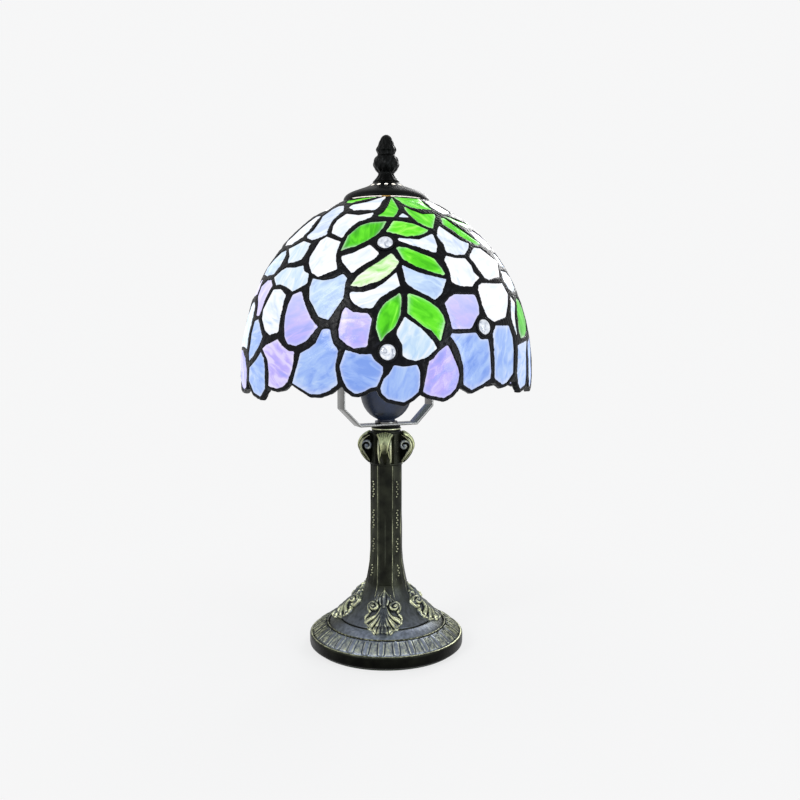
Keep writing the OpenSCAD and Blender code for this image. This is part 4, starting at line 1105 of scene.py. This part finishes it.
def build_bulb(material):
    low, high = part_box("bulb_glass")
    R = high.x / MM
    centre = high.z / MM - R
    z0 = low.z / MM
    shape = [[12.4, z0], [12.4, z0 + 2.2], [12.5, z0 + 3.6]]
    start = math.asin(min(0.99, 13.2 / R))
    arc = [[R * math.sin(math.pi - a), centre + R * math.cos(math.pi - a)] for a in np.linspace(start + 0.12, math.pi - 0.01, 40)]
    shape = np.vstack([curve(shape + [arc[0]], 6)[:-1], arc])
    v, f, w = lathe(shape, 96, None, 0.3, False)
    make("bulb_globe", v, f, material, "bulb", "bulb_glass", attributes={"wear": np.full(len(v), 0.3)})


# ---------------------------------------------------------------- everything in order

set_stage()

bronze_m = bronze("bronze", linear(30, 32, 25), linear(60, 63, 50), linear(150, 159, 174), linear(214, 217, 178), 0.5)
leaf_m = bronze("bronze_leaf", linear(36, 38, 25), linear(74, 77, 52), linear(150, 159, 174), linear(206, 211, 160), 0.42)
dark_m = bronze("dark_cast", linear(7, 9, 9), linear(13, 16, 16), linear(30, 32, 36), linear(52, 56, 56), 0.9)
steel_m = plain_metal("steel", linear(120, 120, 118), 0.24, (1, 1, 12))
brass_m = plain_metal("brass", linear(190, 156, 92), 0.3)
iron_m = plain_metal("iron", linear(62, 62, 64), 0.6)
cup_m = plastic("bakelite", linear(14, 24, 42), linear(32, 48, 78), 0.42, 0.05)
black_m = plastic("black_plastic", linear(22, 22, 23), linear(34, 34, 36), 0.35)
porcelain_m = plastic("porcelain", linear(226, 222, 210), linear(238, 236, 228), 0.2, 0.4)
felt_m = plastic("felt", linear(38, 46, 36), linear(54, 64, 50), 0.95)
lead_m = lead_material()
bulb_m = plastic("opal_bulb", linear(244, 243, 238), linear(252, 252, 250), 0.4)
bulb_node = bulb_m.node_tree.nodes["Principled BSDF"]
bulb_node.inputs["Emission Color"].default_value = (1, 0.98, 0.95, 1)
bulb_node.inputs["Emission Strength"].default_value = 2.5
jewel = Mat("jewel_glass", Roughness=0.04, IOR=1.52)
jewel.bsdf.inputs["Coat Weight"].default_value = 0.6
swirl = jewel.noise(240, 3, None, 1.5)
tone = jewel.ramp(swirl, [(0.3, linear(138, 146, 162)), (0.5, linear(214, 220, 230)), (0.7, linear(250, 252, 255))])
jewel.to(jewel.mix(1.0, tone, (0.5, 0.5, 0.5, 1), "MULTIPLY"), "Base Color")
# painted light: the jewels give out their swirled tone as glow, for the bulb's light coming through them
jewel.to(tone, "Emission Color")
jewel.bsdf.inputs["Emission Strength"].default_value = 0.55

build_foot(bronze_m)
build_column(bronze_m)
build_capital(bronze_m, leaf_m)
build_collar(bronze_m)
build_leading(lead_m)

GLASS = {
    "blue_panes": ("blue_glass", [(128, 162, 238), (154, 184, 247), (172, 200, 249), (204, 220, 252)], (0.86, 0.96, 0.1)),
    "lavender_panes": ("lavender_glass", [(148, 158, 242), (166, 168, 249), (190, 176, 250), (222, 212, 253)],
                       (0.88, 0.97, 0.35)),
    "sky_panes": ("sky_glass", [(150, 184, 236), (178, 210, 247), (206, 230, 250), (236, 244, 253)], (0.86, 0.96, 0.2)),
    "white_panes": ("white_glass", [(176, 200, 238), (218, 232, 250), (243, 247, 253), (254, 252, 249)], (0.86, 1.0, 0.3)),
    "leaf_panes": ("green_glass", [(58, 172, 12), (80, 206, 22), (104, 232, 38), (154, 250, 86)], (0.86, 1.0, 0.0)),
    "pale_leaf_pane": ("pale_green_glass", [(130, 228, 76), (212, 243, 184), (247, 250, 240), (253, 254, 249)],
                       (0.92, 1.0, 0.1)),
}
for node, (slot_name, tones, glow) in GLASS.items():
    build_panes(node, slot_name.replace("_glass", "_glass_panes"), glass_material(slot_name, tones, glow))
build_jewels(jewel.m, lead_m)

build_finial(dark_m)
# painted light: the cap's inside glows as if lit by the bulb, and shows through the vents
lit_inside_m = plastic("cap_inside_glow", linear(196, 190, 176), linear(226, 222, 210), 0.5)
lit_inside_node = lit_inside_m.node_tree.nodes["Principled BSDF"]
lit_inside_node.inputs["Emission Color"].default_value = (1, 0.97, 0.92, 1)
lit_inside_node.inputs["Emission Strength"].default_value = 0.9
build_cap(dark_m, lit_inside_m)
softened("finial_washer", dark_m, "washer", 0.15)
softened("crown_ring", brass_m, "shade", 0.2)
softened("spider", brass_m, "shade", 0.3)
softened("harp_strap", steel_m, "stand", 0.3)
softened("harp_nut", steel_m, "stand", 0.3)
softened("harp_stud", brass_m, "stand", 0.3)
softened("stud_nut", brass_m, "stand", 0.3)
softened("socket_cup", cup_m, "stand", 0.35)
softened("socket_shell", cup_m, "stand", 0.3)
softened("socket_insert", porcelain_m, "stand", 0.3)
softened("terminal_screws", brass_m, "stand", 0.2)
softened("centre_contact", brass_m, "stand", 0.15)
build_threaded("screw_shell", "screw_shell_rolled", brass_m, "stand", "gold", 0.35, True)
build_threaded("bulb_cap", "bulb_cap_rolled", steel_m, "bulb", "steel", 0.5, False)
softened("bulb_insulator", black_m, "bulb", 0.15)
softened("bulb_contact", steel_m, "bulb", 0.15)
softened("filament_mount", porcelain_m, "bulb", 0.1)
build_bulb(bulb_m)
softened("base_felt", felt_m, "stand", 0.4)
softened("ballast_weight", iron_m, "stand", 0.4)
softened("cord_bushing", black_m, "stand", 0.3)
softened("base_washer", steel_m, "stand", 0.2)
softened("base_nut", steel_m, "stand", 0.4)
softened("tie_rod", steel_m, "stand", 0.2)
